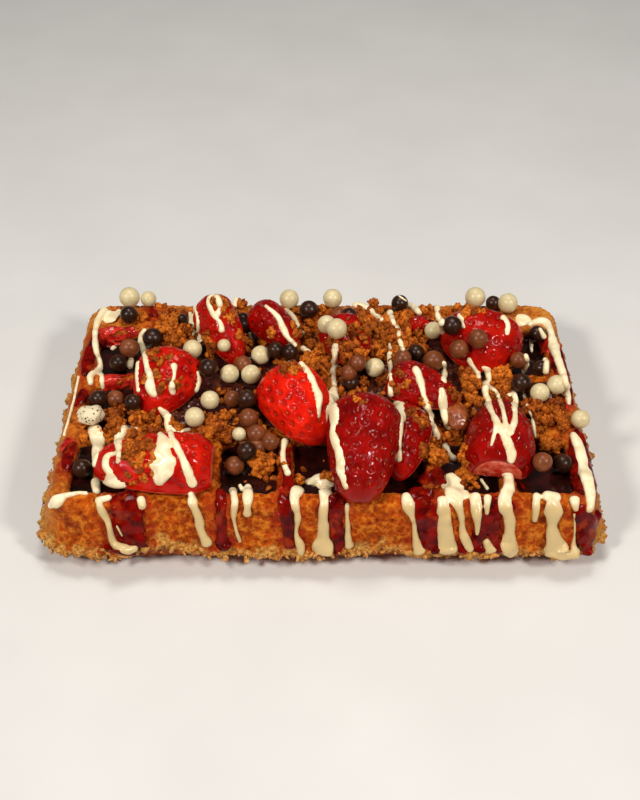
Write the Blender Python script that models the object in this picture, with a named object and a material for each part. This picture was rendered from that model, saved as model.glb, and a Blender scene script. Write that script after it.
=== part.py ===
"""A deep-pocketed rectangular waffle with dark sauce, cut strawberries, pearls and biscuit crumbs.

Metres, +Z up. The waffle lies flat with its long side along X and its front toward -Y.
The origin is at the centre of its underside. Positions below are in millimetres.
"""
import math
import random

import bmesh
import bpy
from mathutils import Matrix, Vector, noise
from mathutils.bvhtree import BVHTree

MM = 0.001

# Waffle plate
THICKNESS = 27.0
TOP_LENGTH = 177.0
TOP_WIDTH = 103.0
TOP_CORNER = 9.0
SEAM_HEIGHT = 8.6
SEAM_REACH = 5.2
FLASH_REACH = 1.6
UNDER_DRAFT = 2.4
EDGE_ROUND = 1.7

# Pockets
COLUMNS = 7
ROWS = 3
COLUMN_PITCH = 24.2
ROW_PITCH = 28.4
RIB = 4.7
FRONT_RIM = 6.0
POCKET_DEPTH = 11.0
POCKET_CORNER = 3.2
POCKET_DRAFT = 1.3
MOUTH_ROUND = 1.25
FOOT_ROUND = 1.4
UNDER_INSET = 1.2

# Sauce and clearances
SAUCE_BELOW_RIM = 4.0
GAP = 0.3
DROP_STEP = 0.1
DROP_START = 45.0

# Crumb beds that fill the pockets under them: column range, row range, height over the ribs
CRUMB_BEDS = [((1, 5), (1, 2), 2.4), ((6, 6), (1, 1), 1.8)]
BED_STEP = 6.8
BED_SWELL_RUN = 6.0
BED_LUMP_HEIGHT = 1.8
BED_LUMP_RATE = 0.17
BED_EDGE_DEPTH = 0.4
BED_BASE_DEPTH = 2.5

# Share of a crumb's or a sunk pearl's size by which its middle stands over the bed
CRUMB_STAND = 0.1
SUNK_PEARL_STAND = 0.2
CRUMB_FLATNESS = 0.85

# Pearls sunk in the crumbs: x, y, diameter
SUNK_PEARLS = [
    (-29, 34, 6), (-17, 18, 6), (-11, 14, 6), (-26, -8, 6), (13, 10, 6), (10, 2, 6),
    (-31, -7, 6), (27, 6, 6), (6, 38, 6), (-53, 40, 5),
]

# Larger crumbs: x, y, size across
CRUMBS = [
    (-37, 44, 8), (-40, 17, 6), (-33, -20, 6), (-38, -18, 7), (-41, -20, 5), (-9, 26, 5),
    (0, 10, 8), (-5, 14, 6), (9, 30, 6), (-14, 8, 5), (17, 33, 7), (21, 26, 7),
    (29, 27, 6), (31, 22, 6), (26, 17, 5), (24, 39, 5), (51, 2, 6), (14, 14, 7),
    (51, -5, 8), (44, -13, 8), (46, -20, 6), (64, 1, 7), (65, -5, 6), (37, -20, 5),
    (72, -19, 7), (72, -11, 7), (76, -14, 6), (66, -14, 6), (62, -20, 6), (-82, -14, 7),
    (-70, -17, 8), (-63, -14, 7), (-57, -19, 6), (-49, -18, 5), (-54, 26, 9),
    (-50, 30, 6), (-79, 47, 4), (-68, 42, 5), (-59, 41, 5),
    (14, 45, 5), (22, 45, 5), (38, 45, 5), (46, 43, 5), (52, 45, 5),
]

# Drizzle strands: sides round, half height over their path, half width of the rim lines
STRAND_SIDES = 5
STRAND_HALF_HEIGHT = 1.0
RIM_LINE_HALF_WIDTH = 1.3
STRAND_LIFT = 0.1

# Drips start this far in from the rim's inner edge; short ones are shorter than this
DRIP_START_INSET = 2.2
SHORT_DRIP = 8.0

# Drips down the front wall: x at the rim, x at the lower end, width, length down the wall
FRONT_DRIPS = [
    (-81, -80, 9, 4), (-72, -66, 3, 16), (-58, -58, 3, 4), (-42, -37, 4, 17), (-28, -26, 2.5, 14),
    (-24, -24, 4, 5), (-8, -7, 3.5, 17), (1, 1, 5, 18), (8, 8, 2.5, 15), (28, 32, 3, 17),
    (40, 40, 5, 18), (45, 48, 3, 17), (50, 50, 3, 11), (54, 54, 2.5, 6), (59, 61, 6, 18),
    (68, 68, 3, 7), (74, 77, 7, 18), (81, 81, 4, 3),
]

# Thick lines of drizzle on the side rims: points along the top
RIM_LINES = [
    [(-85, 46), (-85, 38), (-84, 27), (-84, 16)],
    [(78, 42), (85, 40), (87, 35), (86, 27), (87, 17), (86, 5), (87, -5)],
    [(85, -20), (84, -26), (84, -33), (85, -39), (86, -44), (87, -48)],
]

# Cut strawberries: name, x, y, length, width, height, yaw, pitch (tip down), roll, bluntness of the tip
STRAWBERRIES = [
    ("strawberry_middle", -7.5, -13, 31, 24, 13, -62, 6, 0, 0.45),
    ("strawberry_front_side", 27.5, -29, 28, 17, 10, -100, 4, 20, 0.5),
    ("strawberry_front", 12.8, -37, 35, 24, 13, -95, 20, 0, 0.38),
    ("strawberry_front_left", -55, -37, 39, 22, 13, 178, 0, 0, 0.36),
    ("strawberry_front_right", 59, -25, 30, 24, 14, 82, -10, 0, 0.5),
    ("strawberry_left", -55, -1, 26, 24, 11, -105, 6, 0, 0.5),
    ("strawberry_right", 57, 19.5, 22, 30, 13, -102, 4, 0, 0.5),
    ("strawberry_back_left", -36, 23, 29, 15, 12, -62, 14, -8, 0.6),
    ("strawberry_back_middle", -16, 25, 24, 14, 9, -48, 8, 6, 0.6),
    ("strawberry_centre", 9, 17.5, 22, 19, 8, -78, 4, 0, 0.5),
    ("strawberry_right_middle", 35, -6, 25, 18, 8, -24, 4, 0, 0.5),
    ("strawberry_back_piece", 38, 34, 11, 8, 5, 10, 0, 0, 0.5),
]

# Cereal pearls: x, y, diameter; lowest ones first
WHITE_PEARLS = [
    (-73.5, 50, 7.8), (-12.5, 49, 7.4), (4, 49.5, 7.3), (58.5, 50, 7.8), (70.5, 46.5, 7.5),
    (1.5, 17.5, 6.5), (5, 12, 7.2), (-46.5, 17, 6.8), (-22, 14, 6.8), (-32.5, 4, 6.6),
    (-25, 4, 6.9), (-38.5, -8.5, 6.5), (-43, -17.5, 6.7), (18.5, 7.5, 6.8), (40.5, 26.5, 6.4),
    (74.5, -7, 6.6), (80.5, -4, 6.6), (87.5, -16, 6.4),
]
DARK_PEARLS = [
    (-72.5, 40, 6.7), (-62, 26, 7.4), (-39.5, 2, 6.4), (-5, 42.5, 7.2), (10, 37, 6.2),
    (29.5, 47, 6.5), (46, 19, 6.9), (33.5, 15.5, 6.2), (69, -1, 6.9), (-79, -35.5, 6.4),
    (-74, 17, 6.4), (79, -33.5, 6.6),
]
MILK_PEARLS = [
    (-71, 25, 7.2), (-72.5, -2, 6.4), (-29, -34, 6.4), (-22, -25.5, 6.4), (39.5, 11, 7.4),
    (48, 11, 6.8), (54.5, 12, 6.8),
]


def clear_scene():
    for item in list(bpy.data.objects):
        bpy.data.objects.remove(item, do_unlink=True)


def make_material(name, colour, roughness, metallic=0.0):
    material = bpy.data.materials.new(name)
    material.use_nodes = True
    shader = material.node_tree.nodes["Principled BSDF"]
    shader.inputs["Base Color"].default_value = (*colour, 1.0)
    shader.inputs["Roughness"].default_value = roughness
    shader.inputs["Metallic"].default_value = metallic
    material.diffuse_color = (*colour, 1.0)
    return material


def finish_object(name, mesh_data, material, smooth=False):
    mesh = bpy.data.meshes.new(name)
    mesh_data.normal_update()
    bmesh.ops.recalc_face_normals(mesh_data, faces=mesh_data.faces)
    mesh_data.to_mesh(mesh)
    mesh_data.free()
    mesh.materials.append(material)
    for face in mesh.polygons:
        face.use_smooth = smooth
    item = bpy.data.objects.new(name, mesh)
    bpy.context.scene.collection.objects.link(item)
    return item


def rounded_rectangle(half_x, half_y, corner, corner_steps, long_steps=1, short_steps=1):
    """Points and outward directions round a rounded rectangle, anticlockwise from the right side."""
    points = []
    centres = [
        (half_x - corner, half_y - corner, 0.0),
        (-half_x + corner, half_y - corner, 90.0),
        (-half_x + corner, -half_y + corner, 180.0),
        (half_x - corner, -half_y + corner, 270.0),
    ]
    for index, (cx, cy, start) in enumerate(centres):
        for step in range(corner_steps + 1):
            angle = math.radians(start + 90.0 * step / corner_steps)
            outward = Vector((math.cos(angle), math.sin(angle)))
            points.append((Vector((cx, cy)) + outward * corner, outward))
        next_x, next_y, next_start = centres[(index + 1) % 4]
        side = math.radians(next_start)
        side_outward = Vector((math.cos(side), math.sin(side)))
        first = points[-1][0]
        last = Vector((next_x, next_y)) + side_outward * corner
        steps = long_steps if index % 2 == 0 else short_steps
        for step in range(1, steps):
            points.append((first.lerp(last, step / steps), side_outward))
    return points


def bridge_loops(mesh_data, loops):
    """Skin a stack of equal loops and close both ends."""
    rings = []
    for loop in loops:
        rings.append([mesh_data.verts.new(point) for point in loop])
    count = len(rings[0])
    for lower, upper in zip(rings, rings[1:]):
        for index in range(count):
            following = (index + 1) % count
            mesh_data.faces.new((lower[index], lower[following], upper[following], upper[index]))
    mesh_data.faces.new(list(reversed(rings[0])))
    mesh_data.faces.new(rings[-1])


def offset_loop(outline, offset, height):
    loop = []
    for point, outward in outline:
        moved = point + outward * offset
        loop.append(Vector((moved.x, moved.y, height)) * MM)
    return loop


def wall_profile():
    """Height and outward offset of the waffle's side wall, from the underside up."""
    return [
        (0.0, -UNDER_DRAFT),
        (1.2, 1.8 - UNDER_DRAFT),
        (SEAM_HEIGHT - 1.3, SEAM_REACH - 1.2),
        (THICKNESS - EDGE_ROUND, 0.0),
        (THICKNESS - EDGE_ROUND * 0.3, -EDGE_ROUND * 0.35),
        (THICKNESS, -EDGE_ROUND),
    ]


def make_plate(material):
    """The baked slab with its drafted wall, rounded top edge and ragged torn seam."""
    outline = rounded_rectangle(TOP_LENGTH / 2, TOP_WIDTH / 2, TOP_CORNER, 4, 20, 12)
    ragged = []
    draw = random.Random(4)
    for point, outward in outline:
        wave = noise.noise(Vector((point.x * 0.16, point.y * 0.16, 2.0)))
        reach = 0.45 + 0.9 * wave + 0.7 * draw.random()
        ragged.append(FLASH_REACH * max(0.0, min(1.0, reach)))
    profile = wall_profile()
    loops = [offset_loop(outline, offset, height) for height, offset in profile[:3]]
    for height, share in ((SEAM_HEIGHT - 0.5, 0.9), (SEAM_HEIGHT + 0.5, 1.0)):
        loop = []
        for (point, outward), extra in zip(outline, ragged):
            moved = point + outward * (SEAM_REACH + extra * share)
            lift = 0.35 * noise.noise(Vector((point.x * 0.3, point.y * 0.3, 7.0)))
            loop.append(Vector((moved.x, moved.y, height + lift)) * MM)
        loops.append(loop)
    loops.append(offset_loop(outline, SEAM_REACH - 0.7, SEAM_HEIGHT + 1.5))
    loops += [offset_loop(outline, offset, height) for height, offset in profile[3:]]
    plate = bmesh.new()
    bridge_loops(plate, loops)
    return finish_object("waffle", plate, material)


def pocket_centre(column, row):
    x = (column - (COLUMNS - 1) / 2) * COLUMN_PITCH
    y = -TOP_WIDTH / 2 + FRONT_RIM + (ROW_PITCH - RIB) / 2 + row * ROW_PITCH
    return x, y


def pocket_profile():
    """Depth below the rim and outward offset of a pocket's wall, from its floor up."""
    return [
        (POCKET_DEPTH, -POCKET_DRAFT - FOOT_ROUND * 0.7),
        (POCKET_DEPTH - FOOT_ROUND, -POCKET_DRAFT),
        (MOUTH_ROUND, 0.0),
        (MOUTH_ROUND * 0.3, MOUTH_ROUND * 0.4),
        (0.0, MOUTH_ROUND),
        (-1.0, MOUTH_ROUND),
    ]


def pocket_loops(column, row, profile, from_top):
    half_x = (COLUMN_PITCH - RIB) / 2
    half_y = (ROW_PITCH - RIB) / 2
    outline = rounded_rectangle(half_x, half_y, POCKET_CORNER, 2)
    centre_x, centre_y = pocket_centre(column, row)
    loops = []
    for depth, offset in profile:
        height = THICKNESS - depth if from_top else depth
        loop = offset_loop(outline, offset, height)
        for point in loop:
            point.x += centre_x * MM
            point.y += centre_y * MM
        loops.append(loop)
    return loops


def bedded(column, row):
    for (first, last), (low, high), _ in CRUMB_BEDS:
        if first <= column <= last and low <= row <= high:
            return True
    return False


def cut_pockets(plate, material):
    """Cut the pockets in both faces; those under a crumb bed are full and stay solid."""
    cutter_mesh = bmesh.new()
    underside = [
        (POCKET_DEPTH, -UNDER_INSET - POCKET_DRAFT),
        (MOUTH_ROUND, -UNDER_INSET),
        (0.0, -UNDER_INSET + MOUTH_ROUND / 2),
        (-1.0, -UNDER_INSET + MOUTH_ROUND / 2),
    ]
    for column in range(COLUMNS):
        for row in range(ROWS):
            if not bedded(column, row):
                bridge_loops(cutter_mesh, pocket_loops(column, row, pocket_profile(), True))
            bridge_loops(cutter_mesh, pocket_loops(column, row, underside, False))
    cutter = finish_object("pocket_cutter", cutter_mesh, material)
    cutter.hide_render = True
    cutter.display_type = "WIRE"
    cut = plate.modifiers.new("pockets", "BOOLEAN")
    cut.operation = "DIFFERENCE"
    cut.solver = "EXACT"
    cut.object = cutter
    apply_modifiers(plate)
    bpy.data.objects.remove(cutter, do_unlink=True)


def apply_modifiers(item):
    depsgraph = bpy.context.evaluated_depsgraph_get()
    evaluated = item.evaluated_get(depsgraph)
    mesh = bpy.data.meshes.new_from_object(evaluated)
    item.modifiers.clear()
    item.data = mesh


def bed_height(x, y):
    """Height of the crumb bed at a point, or the plain rim height outside every bed."""
    height = THICKNESS
    for (first, last), (low, high), rise in CRUMB_BEDS:
        left, front = pocket_centre(first, low)
        right, back = pocket_centre(last, high)
        inside_x = min(x - left, right - x) + COLUMN_PITCH / 2
        inside_y = min(y - front, back - y) + ROW_PITCH / 2
        inside = min(inside_x, inside_y)
        if inside > 0:
            lump = noise.noise(Vector((x * BED_LUMP_RATE, y * BED_LUMP_RATE, 3.0)))
            swell = min(1.0, inside / BED_SWELL_RUN)
            height = THICKNESS + swell * (rise + BED_LUMP_HEIGHT * lump)
    return height


def make_bed(bed, material):
    """A lumpy bed of crumbs over full pockets."""
    (first, last), (low, high), _ = bed
    left, front = pocket_centre(first, low)
    right, back = pocket_centre(last, high)
    half_rib = RIB / 2
    left += half_rib - COLUMN_PITCH / 2
    right += COLUMN_PITCH / 2 - half_rib
    front += half_rib - ROW_PITCH / 2
    back += ROW_PITCH / 2 - half_rib
    columns = max(4, round((right - left) / BED_STEP))
    rows = max(4, round((back - front) / BED_STEP))
    mesh_data = bmesh.new()
    top = []
    for row in range(rows + 1):
        line = []
        for column in range(columns + 1):
            x = left + (right - left) * column / columns
            y = front + (back - front) * row / rows
            edge = row in (0, rows) or column in (0, columns)
            height = THICKNESS - BED_EDGE_DEPTH if edge else bed_height(x, y)
            line.append(mesh_data.verts.new(Vector((x, y, height)) * MM))
        top.append(line)
    for row in range(rows):
        for column in range(columns):
            mesh_data.faces.new((top[row][column], top[row][column + 1],
                                 top[row + 1][column + 1], top[row + 1][column]))
    rim = top[0][:]
    rim += [top[row][columns] for row in range(1, rows + 1)]
    rim += [top[rows][column] for column in range(columns - 1, -1, -1)]
    rim += [top[row][0] for row in range(rows - 1, 0, -1)]
    base = []
    for vert in rim:
        low = Vector((vert.co.x, vert.co.y, (THICKNESS - BED_BASE_DEPTH) * MM))
        base.append(mesh_data.verts.new(low))
    for index in range(len(rim)):
        following = (index + 1) % len(rim)
        mesh_data.faces.new((rim[index], base[index], base[following], rim[following]))
    mesh_data.faces.new(base)
    return finish_object("crumb_bed", mesh_data, material)


def make_crumb(x, y, size, seed, material):
    """One craggy biscuit crumb, sunk a little into what it lies on."""
    draw = random.Random(seed)
    mesh_data = bmesh.new()
    bmesh.ops.create_icosphere(mesh_data, subdivisions=1, radius=size / 2 * MM)
    spin = Matrix.Rotation(draw.uniform(0, math.tau), 4, "Z")
    spin = spin @ Matrix.Rotation(draw.uniform(0, math.tau), 4, "X")
    for vert in mesh_data.verts:
        vert.co *= draw.uniform(0.8, 1.15)
        vert.co = spin @ vert.co
        vert.co.z *= CRUMB_FLATNESS
    height = bed_height(x, y) + size * CRUMB_STAND
    bmesh.ops.translate(mesh_data, verts=mesh_data.verts, vec=Vector((x, y, height)) * MM)
    return finish_object("crumb", mesh_data, material)


def make_sunk_pearl(x, y, diameter, material):
    mesh_data = bmesh.new()
    bmesh.ops.create_icosphere(mesh_data, subdivisions=1, radius=diameter / 2 * MM)
    height = bed_height(x, y) + diameter * SUNK_PEARL_STAND
    bmesh.ops.translate(mesh_data, verts=mesh_data.verts, vec=Vector((x, y, height)) * MM)
    return finish_object("sunk_pearl", mesh_data, material)


def make_strand(path, normals, half_width, half_height, material):
    """A flattened round strand laid along a path, with closed ends."""
    loops = []
    count = len(path)
    for index, (point, normal) in enumerate(zip(path, normals)):
        ahead = path[min(index + 1, count - 1)]
        behind = path[max(index - 1, 0)]
        along = (ahead - behind).normalized()
        across = along.cross(normal).normalized()
        end = index in (0, count - 1)
        swell = 0.7 if end else 1.0 + 0.16 * math.sin(index * 2.3 + point.x)
        loop = []
        for step in range(STRAND_SIDES):
            angle = math.tau * (step + 0.25) / STRAND_SIDES
            side = across * math.cos(angle) * half_width * swell
            rise = normal * math.sin(angle) * half_height * (0.8 if end else 1.0)
            loop.append((point + side + rise) * MM)
        loops.append(loop)
    mesh_data = bmesh.new()
    bridge_loops(mesh_data, loops)
    return finish_object("strand", mesh_data, material)


def front_wall_point(x, down):
    """A point and its outward normal on the front wall, a given way down from the rim."""
    run = THICKNESS - EDGE_ROUND - SEAM_HEIGHT
    share = min(1.0, down / run)
    y = -TOP_WIDTH / 2 - share * (SEAM_REACH - 0.7)
    point = Vector((x, y, THICKNESS - EDGE_ROUND - down))
    normal = Vector((0.0, -run, SEAM_REACH)).normalized()
    return point, normal


def make_front_drip(x_top, x_low, width, length, material):
    up = Vector((0.0, 0.0, 1.0))
    corner = Vector((0.0, -1.0, 1.0)).normalized()
    path = [
        Vector((x_top, -TOP_WIDTH / 2 + FRONT_RIM - DRIP_START_INSET, THICKNESS)),
        Vector((x_top, -TOP_WIDTH / 2 + EDGE_ROUND + GAP, THICKNESS + STRAND_LIFT)),
        Vector((x_top, -TOP_WIDTH / 2 + 0.45, THICKNESS - EDGE_ROUND * 0.45)),
    ]
    normals = [up, up, corner]
    steps = 2 if length < SHORT_DRIP else 4
    for step in range(1, steps + 1):
        share = step / steps
        point, normal = front_wall_point(x_top + (x_low - x_top) * share, length * share)
        path.append(point)
        normals.append(normal)
    return make_strand(path, normals, width / 2, STRAND_HALF_HEIGHT, material)


def make_rim_line(line, material):
    path = [Vector((x, y, THICKNESS + STRAND_LIFT)) for x, y in line]
    normals = [Vector((0.0, 0.0, 1.0))] * len(path)
    return make_strand(path, normals, RIM_LINE_HALF_WIDTH, STRAND_HALF_HEIGHT, material)


def fuse(base, pieces):
    """Join small pieces to what they lie on as one closed solid."""
    group = bpy.data.collections.new("fused_pieces")
    bpy.context.scene.collection.children.link(group)
    for piece in pieces:
        group.objects.link(piece)
    join = base.modifiers.new("fused", "BOOLEAN")
    join.operation = "UNION"
    join.solver = "EXACT"
    join.operand_type = "COLLECTION"
    join.collection = group
    apply_modifiers(base)
    for piece in pieces:
        bpy.data.objects.remove(piece, do_unlink=True)
    bpy.data.collections.remove(group)


def make_waffle(material):
    plate = make_plate(material)
    cut_pockets(plate, material)
    pieces = [make_bed(bed, material) for bed in CRUMB_BEDS]
    for seed, (x, y, size) in enumerate(CRUMBS):
        pieces.append(make_crumb(x, y, size, seed, material))
    for x, y, diameter in SUNK_PEARLS:
        pieces.append(make_sunk_pearl(x, y, diameter, material))
    for x_top, x_low, width, length in FRONT_DRIPS:
        pieces.append(make_front_drip(x_top, x_low, width, length, material))
    for line in RIM_LINES:
        pieces.append(make_rim_line(line, material))
    fuse(plate, pieces)
    return plate


def make_sauce(column, row, material):
    """Sauce standing in one pocket, a gap clear of its floor and walls."""
    profile = pocket_profile()[:2]
    slope = POCKET_DRAFT / (POCKET_DEPTH - FOOT_ROUND - MOUTH_ROUND)
    surface_offset = -slope * (SAUCE_BELOW_RIM - MOUTH_ROUND)
    profile.append((SAUCE_BELOW_RIM, surface_offset))
    clear = []
    for index, (depth, offset) in enumerate(profile):
        lift = GAP if index == 0 else 0.0
        clear.append((depth - lift, offset - GAP))
    mesh_data = bmesh.new()
    bridge_loops(mesh_data, pocket_loops(column, row, clear, True))
    return finish_object(f"chocolate_sauce_{row + 1}_{column + 1}", mesh_data, material)


def strawberry_radius(share, bluntness):
    """Radius from the shoulder to the tip as a share of the half width; a low bluntness is blunt."""
    shoulder = min(1.0, (share + 0.10) / 0.30)
    rise = math.sin(shoulder * math.pi / 2) ** 0.6
    taper = math.cos(max(0.0, share - 0.25) / 0.75 * math.pi / 2) ** bluntness
    return rise * taper


def make_strawberry(name, length, width, height, bluntness, material):
    """Half a strawberry lying on its cut face, tip toward +X."""
    stations = [0.0, 0.07, 0.2, 0.4, 0.6, 0.78, 0.91, 0.985]
    loops = []
    arc_steps = 7
    for share in stations:
        radius = strawberry_radius(share, bluntness)
        along = (share - 0.5) * length
        loop = []
        for step in range(arc_steps + 1):
            angle = math.pi * step / arc_steps
            across = math.cos(angle) * radius * width / 2
            rise = math.sin(angle) ** 0.9 * radius * height
            loop.append(Vector((along, across, rise)) * MM)
        loops.append(loop)
    mesh_data = bmesh.new()
    bridge_loops(mesh_data, loops)
    return finish_object(name, mesh_data, material, smooth=True)


def make_pearl(name, diameter, material):
    mesh_data = bmesh.new()
    bmesh.ops.create_icosphere(mesh_data, subdivisions=2, radius=diameter / 2 * MM)
    return finish_object(name, mesh_data, material, smooth=True)


def surface_of(item):
    """The triangles of a placed object, in world places, as a search tree with its corner points."""
    corners = [item.matrix_world @ vert.co for vert in item.data.vertices]
    faces = [list(face.vertices) for face in item.data.polygons]
    return BVHTree.FromPolygons(corners, faces), corners


def nearest_distance(tree, point, reach):
    hit = tree.find_nearest(point, reach)
    return hit[3] if hit[0] is not None else reach


def too_close(item, placed, reach):
    """Whether an object's surface comes within the gap of anything already placed."""
    own_tree, own_points = surface_of(item)
    centre = sum(own_points, Vector()) / len(own_points)
    size = max((point - centre).length for point in own_points)
    for tree, points in placed:
        if nearest_distance(tree, centre, size + reach * 2) >= size + reach * 2:
            continue
        if own_tree.overlap(tree):
            return True
        for point in own_points:
            if nearest_distance(tree, point, reach * 2) < reach:
                return True
        for point in points:
            if (point - centre).length >= size + reach:
                continue
            if nearest_distance(own_tree, point, reach * 2) < reach:
                return True
    return False


def lower_until_it_rests(item, placed):
    """Lower an object straight down until it is one gap clear of what it would touch."""
    height = DROP_START + THICKNESS
    coarse = 12
    for stride in (coarse, 1):
        while height > 0:
            item.location.z = (height - stride * DROP_STEP) * MM
            bpy.context.view_layer.update()
            if too_close(item, placed, GAP * MM):
                break
            height -= stride * DROP_STEP
    item.location.z = height * MM
    bpy.context.view_layer.update()
    placed.append(surface_of(item))


def lower_pearl(item, radius, placed):
    height = DROP_START + THICKNESS
    reach = (radius + GAP) * MM
    x, y = item.location.x, item.location.y
    while height > 0:
        centre = Vector((x, y, (height - DROP_STEP) * MM))
        if any(nearest_distance(tree, centre, reach) < reach for tree, _ in placed):
            break
        height -= DROP_STEP
    item.location.z = height * MM
    bpy.context.view_layer.update()
    placed.append(surface_of(item))


def place_strawberries(material, placed):
    for name, x, y, length, width, height, yaw, pitch, roll, bluntness in STRAWBERRIES:
        item = make_strawberry(name, length, width, height, bluntness, material)
        item.rotation_euler = [math.radians(roll), math.radians(pitch), math.radians(yaw)]
        item.location = Vector((x, y, 0.0)) * MM
        lower_until_it_rests(item, placed)


def place_pearls(kind, pearls, material, placed):
    for index, (x, y, diameter) in enumerate(pearls):
        item = make_pearl(f"{kind}_pearl_{index + 1:02d}", diameter, material)
        item.location = Vector((x, y, 0.0)) * MM
        lower_pearl(item, diameter / 2, placed)


def main():
    clear_scene()
    crust = make_material("waffle_crust", (0.58, 0.25, 0.07), 0.62)
    sauce = make_material("chocolate_sauce", (0.02, 0.008, 0.007), 0.12)
    fruit = make_material("strawberry", (0.55, 0.012, 0.01), 0.22)
    white = make_material("white_pearl", (0.83, 0.68, 0.40), 0.34)
    dark = make_material("dark_pearl", (0.03, 0.014, 0.012), 0.25)
    milk = make_material("milk_pearl", (0.16, 0.065, 0.04), 0.33)
    waffle = make_waffle(crust)
    bpy.context.view_layer.update()
    placed = [surface_of(waffle)]
    for row in range(ROWS):
        for column in range(COLUMNS):
            if row == 0 or not bedded(column, row):
                placed.append(surface_of(make_sauce(column, row, sauce)))
    place_strawberries(fruit, placed)
    place_pearls("milk", MILK_PEARLS, milk, placed)
    place_pearls("dark", DARK_PEARLS, dark, placed)
    place_pearls("white", WHITE_PEARLS, white, placed)


main()
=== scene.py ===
import math
import random

import bmesh
import bpy
import numpy as np
from mathutils import Euler, Matrix, Vector, noise
from mathutils.bvhtree import BVHTree


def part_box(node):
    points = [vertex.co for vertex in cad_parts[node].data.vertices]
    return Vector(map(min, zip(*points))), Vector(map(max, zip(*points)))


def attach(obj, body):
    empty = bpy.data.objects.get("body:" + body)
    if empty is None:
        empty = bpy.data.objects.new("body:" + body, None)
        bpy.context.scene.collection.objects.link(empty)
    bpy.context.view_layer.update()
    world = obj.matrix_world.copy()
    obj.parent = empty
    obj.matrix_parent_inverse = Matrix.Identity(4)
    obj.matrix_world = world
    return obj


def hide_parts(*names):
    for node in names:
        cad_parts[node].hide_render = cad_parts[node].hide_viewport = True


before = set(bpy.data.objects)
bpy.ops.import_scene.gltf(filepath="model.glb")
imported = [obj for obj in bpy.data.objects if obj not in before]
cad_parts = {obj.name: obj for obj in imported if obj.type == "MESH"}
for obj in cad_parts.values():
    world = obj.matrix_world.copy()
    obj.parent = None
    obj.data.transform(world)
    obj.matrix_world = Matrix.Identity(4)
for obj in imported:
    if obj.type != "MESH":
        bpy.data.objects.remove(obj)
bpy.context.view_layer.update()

# Lengths are in millimetres until a mesh is made; colours are linear.
MM = 0.001

# Camera: the photo's viewing angle, and the photo's size in pixels
CAMERA_PLACE = Vector((-0.8, -286.0, 292.9))
CAMERA_TILT = math.radians(46.8)
CAMERA_LENS = 50.0
CAMERA_SENSOR = 36.0
PHOTO_WIDTH = 640
PHOTO_HEIGHT = 800
FOCAL_PIXELS = CAMERA_LENS / CAMERA_SENSOR * PHOTO_HEIGHT

# Waffle plate, as in the solids
THICKNESS = 27.0
TOP_LENGTH = 177.0
TOP_WIDTH = 103.0
TOP_CORNER = 9.0
SEAM_HEIGHT = 8.6
SEAM_REACH = 5.2
FLASH_REACH = 1.6
UNDER_DRAFT = 2.4
EDGE_ROUND = 1.7

# Pockets
COLUMNS = 7
ROWS = 3
COLUMN_PITCH = 24.2
ROW_PITCH = 28.4
RIB = 4.7
FRONT_RIM = 6.0
POCKET_DEPTH = 11.0
POCKET_CORNER = 3.2
POCKET_DRAFT = 1.3
MOUTH_ROUND = 1.25
FOOT_ROUND = 1.4
UNDER_INSET = 1.2
SAUCE_BELOW_RIM = 4.0

# Sauces: how thick a strand lies, the fineness of its skin and how long its round end can be
RED_THICKNESS = 0.6
SMEAR_THICKNESS = 0.3
DRIZZLE_THICKNESS = 1.1
RED_VOXEL = 0.36
SMEAR_VOXEL = 0.3
DRIZZLE_VOXEL = 0.34
KEPT_TRIANGLES = 0.36
LONGEST_CAP = 1.4
STAIN_REACH = 5.0

# Skin of the crust and spacing of the crumb bed's points
CRUST_VOXEL = 0.93
BED_SPACING = 0.8

# Grid of a strawberry's skin along and round it, its last station and the spacing of its seeds
BERRY_STATIONS = 84
BERRY_STEPS = 84
BERRY_END = 0.9995
SEED_SPACING = 4.1

# Index of refraction of a wet film
WET_COAT = 1.33

# Heights that are clear of everything on the waffle
LOWERED_FROM = 80.0
LOOKED_FROM = 90.0

# Crumb beds over full pockets: column range, row range, height over the ribs
CRUMB_BEDS = [((1, 5), (1, 2), 2.4), ((6, 6), (1, 1), 1.8)]

# Larger crumbs: x, y, size across
CRUMBS = [
    (-37, 44, 8), (-40, 17, 6), (-33, -20, 6), (-38, -18, 7), (-41, -20, 5), (-9, 26, 5),
    (0, 10, 8), (-5, 14, 6), (9, 30, 6), (-14, 8, 5), (17, 33, 7), (21, 26, 7),
    (29, 27, 6), (31, 22, 6), (26, 17, 5), (24, 39, 5), (51, 2, 6), (14, 14, 7),
    (51, -5, 8), (46, -20, 6), (64, 1, 7), (65, -5, 6), (37, -20, 5),
    (72, -19, 7), (72, -11, 7), (76, -14, 6), (66, -14, 6), (62, -20, 6), (-82, -14, 7),
    (-70, -17, 8), (-63, -14, 7), (-57, -19, 6), (-49, -18, 5), (-54, 26, 9),
    (-50, 30, 6), (-79, 47, 4), (-68, 42, 5), (-59, 41, 5),
    (14, 45, 5), (22, 45, 5), (38, 45, 5), (46, 43, 5), (52, 45, 5),
]

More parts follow.
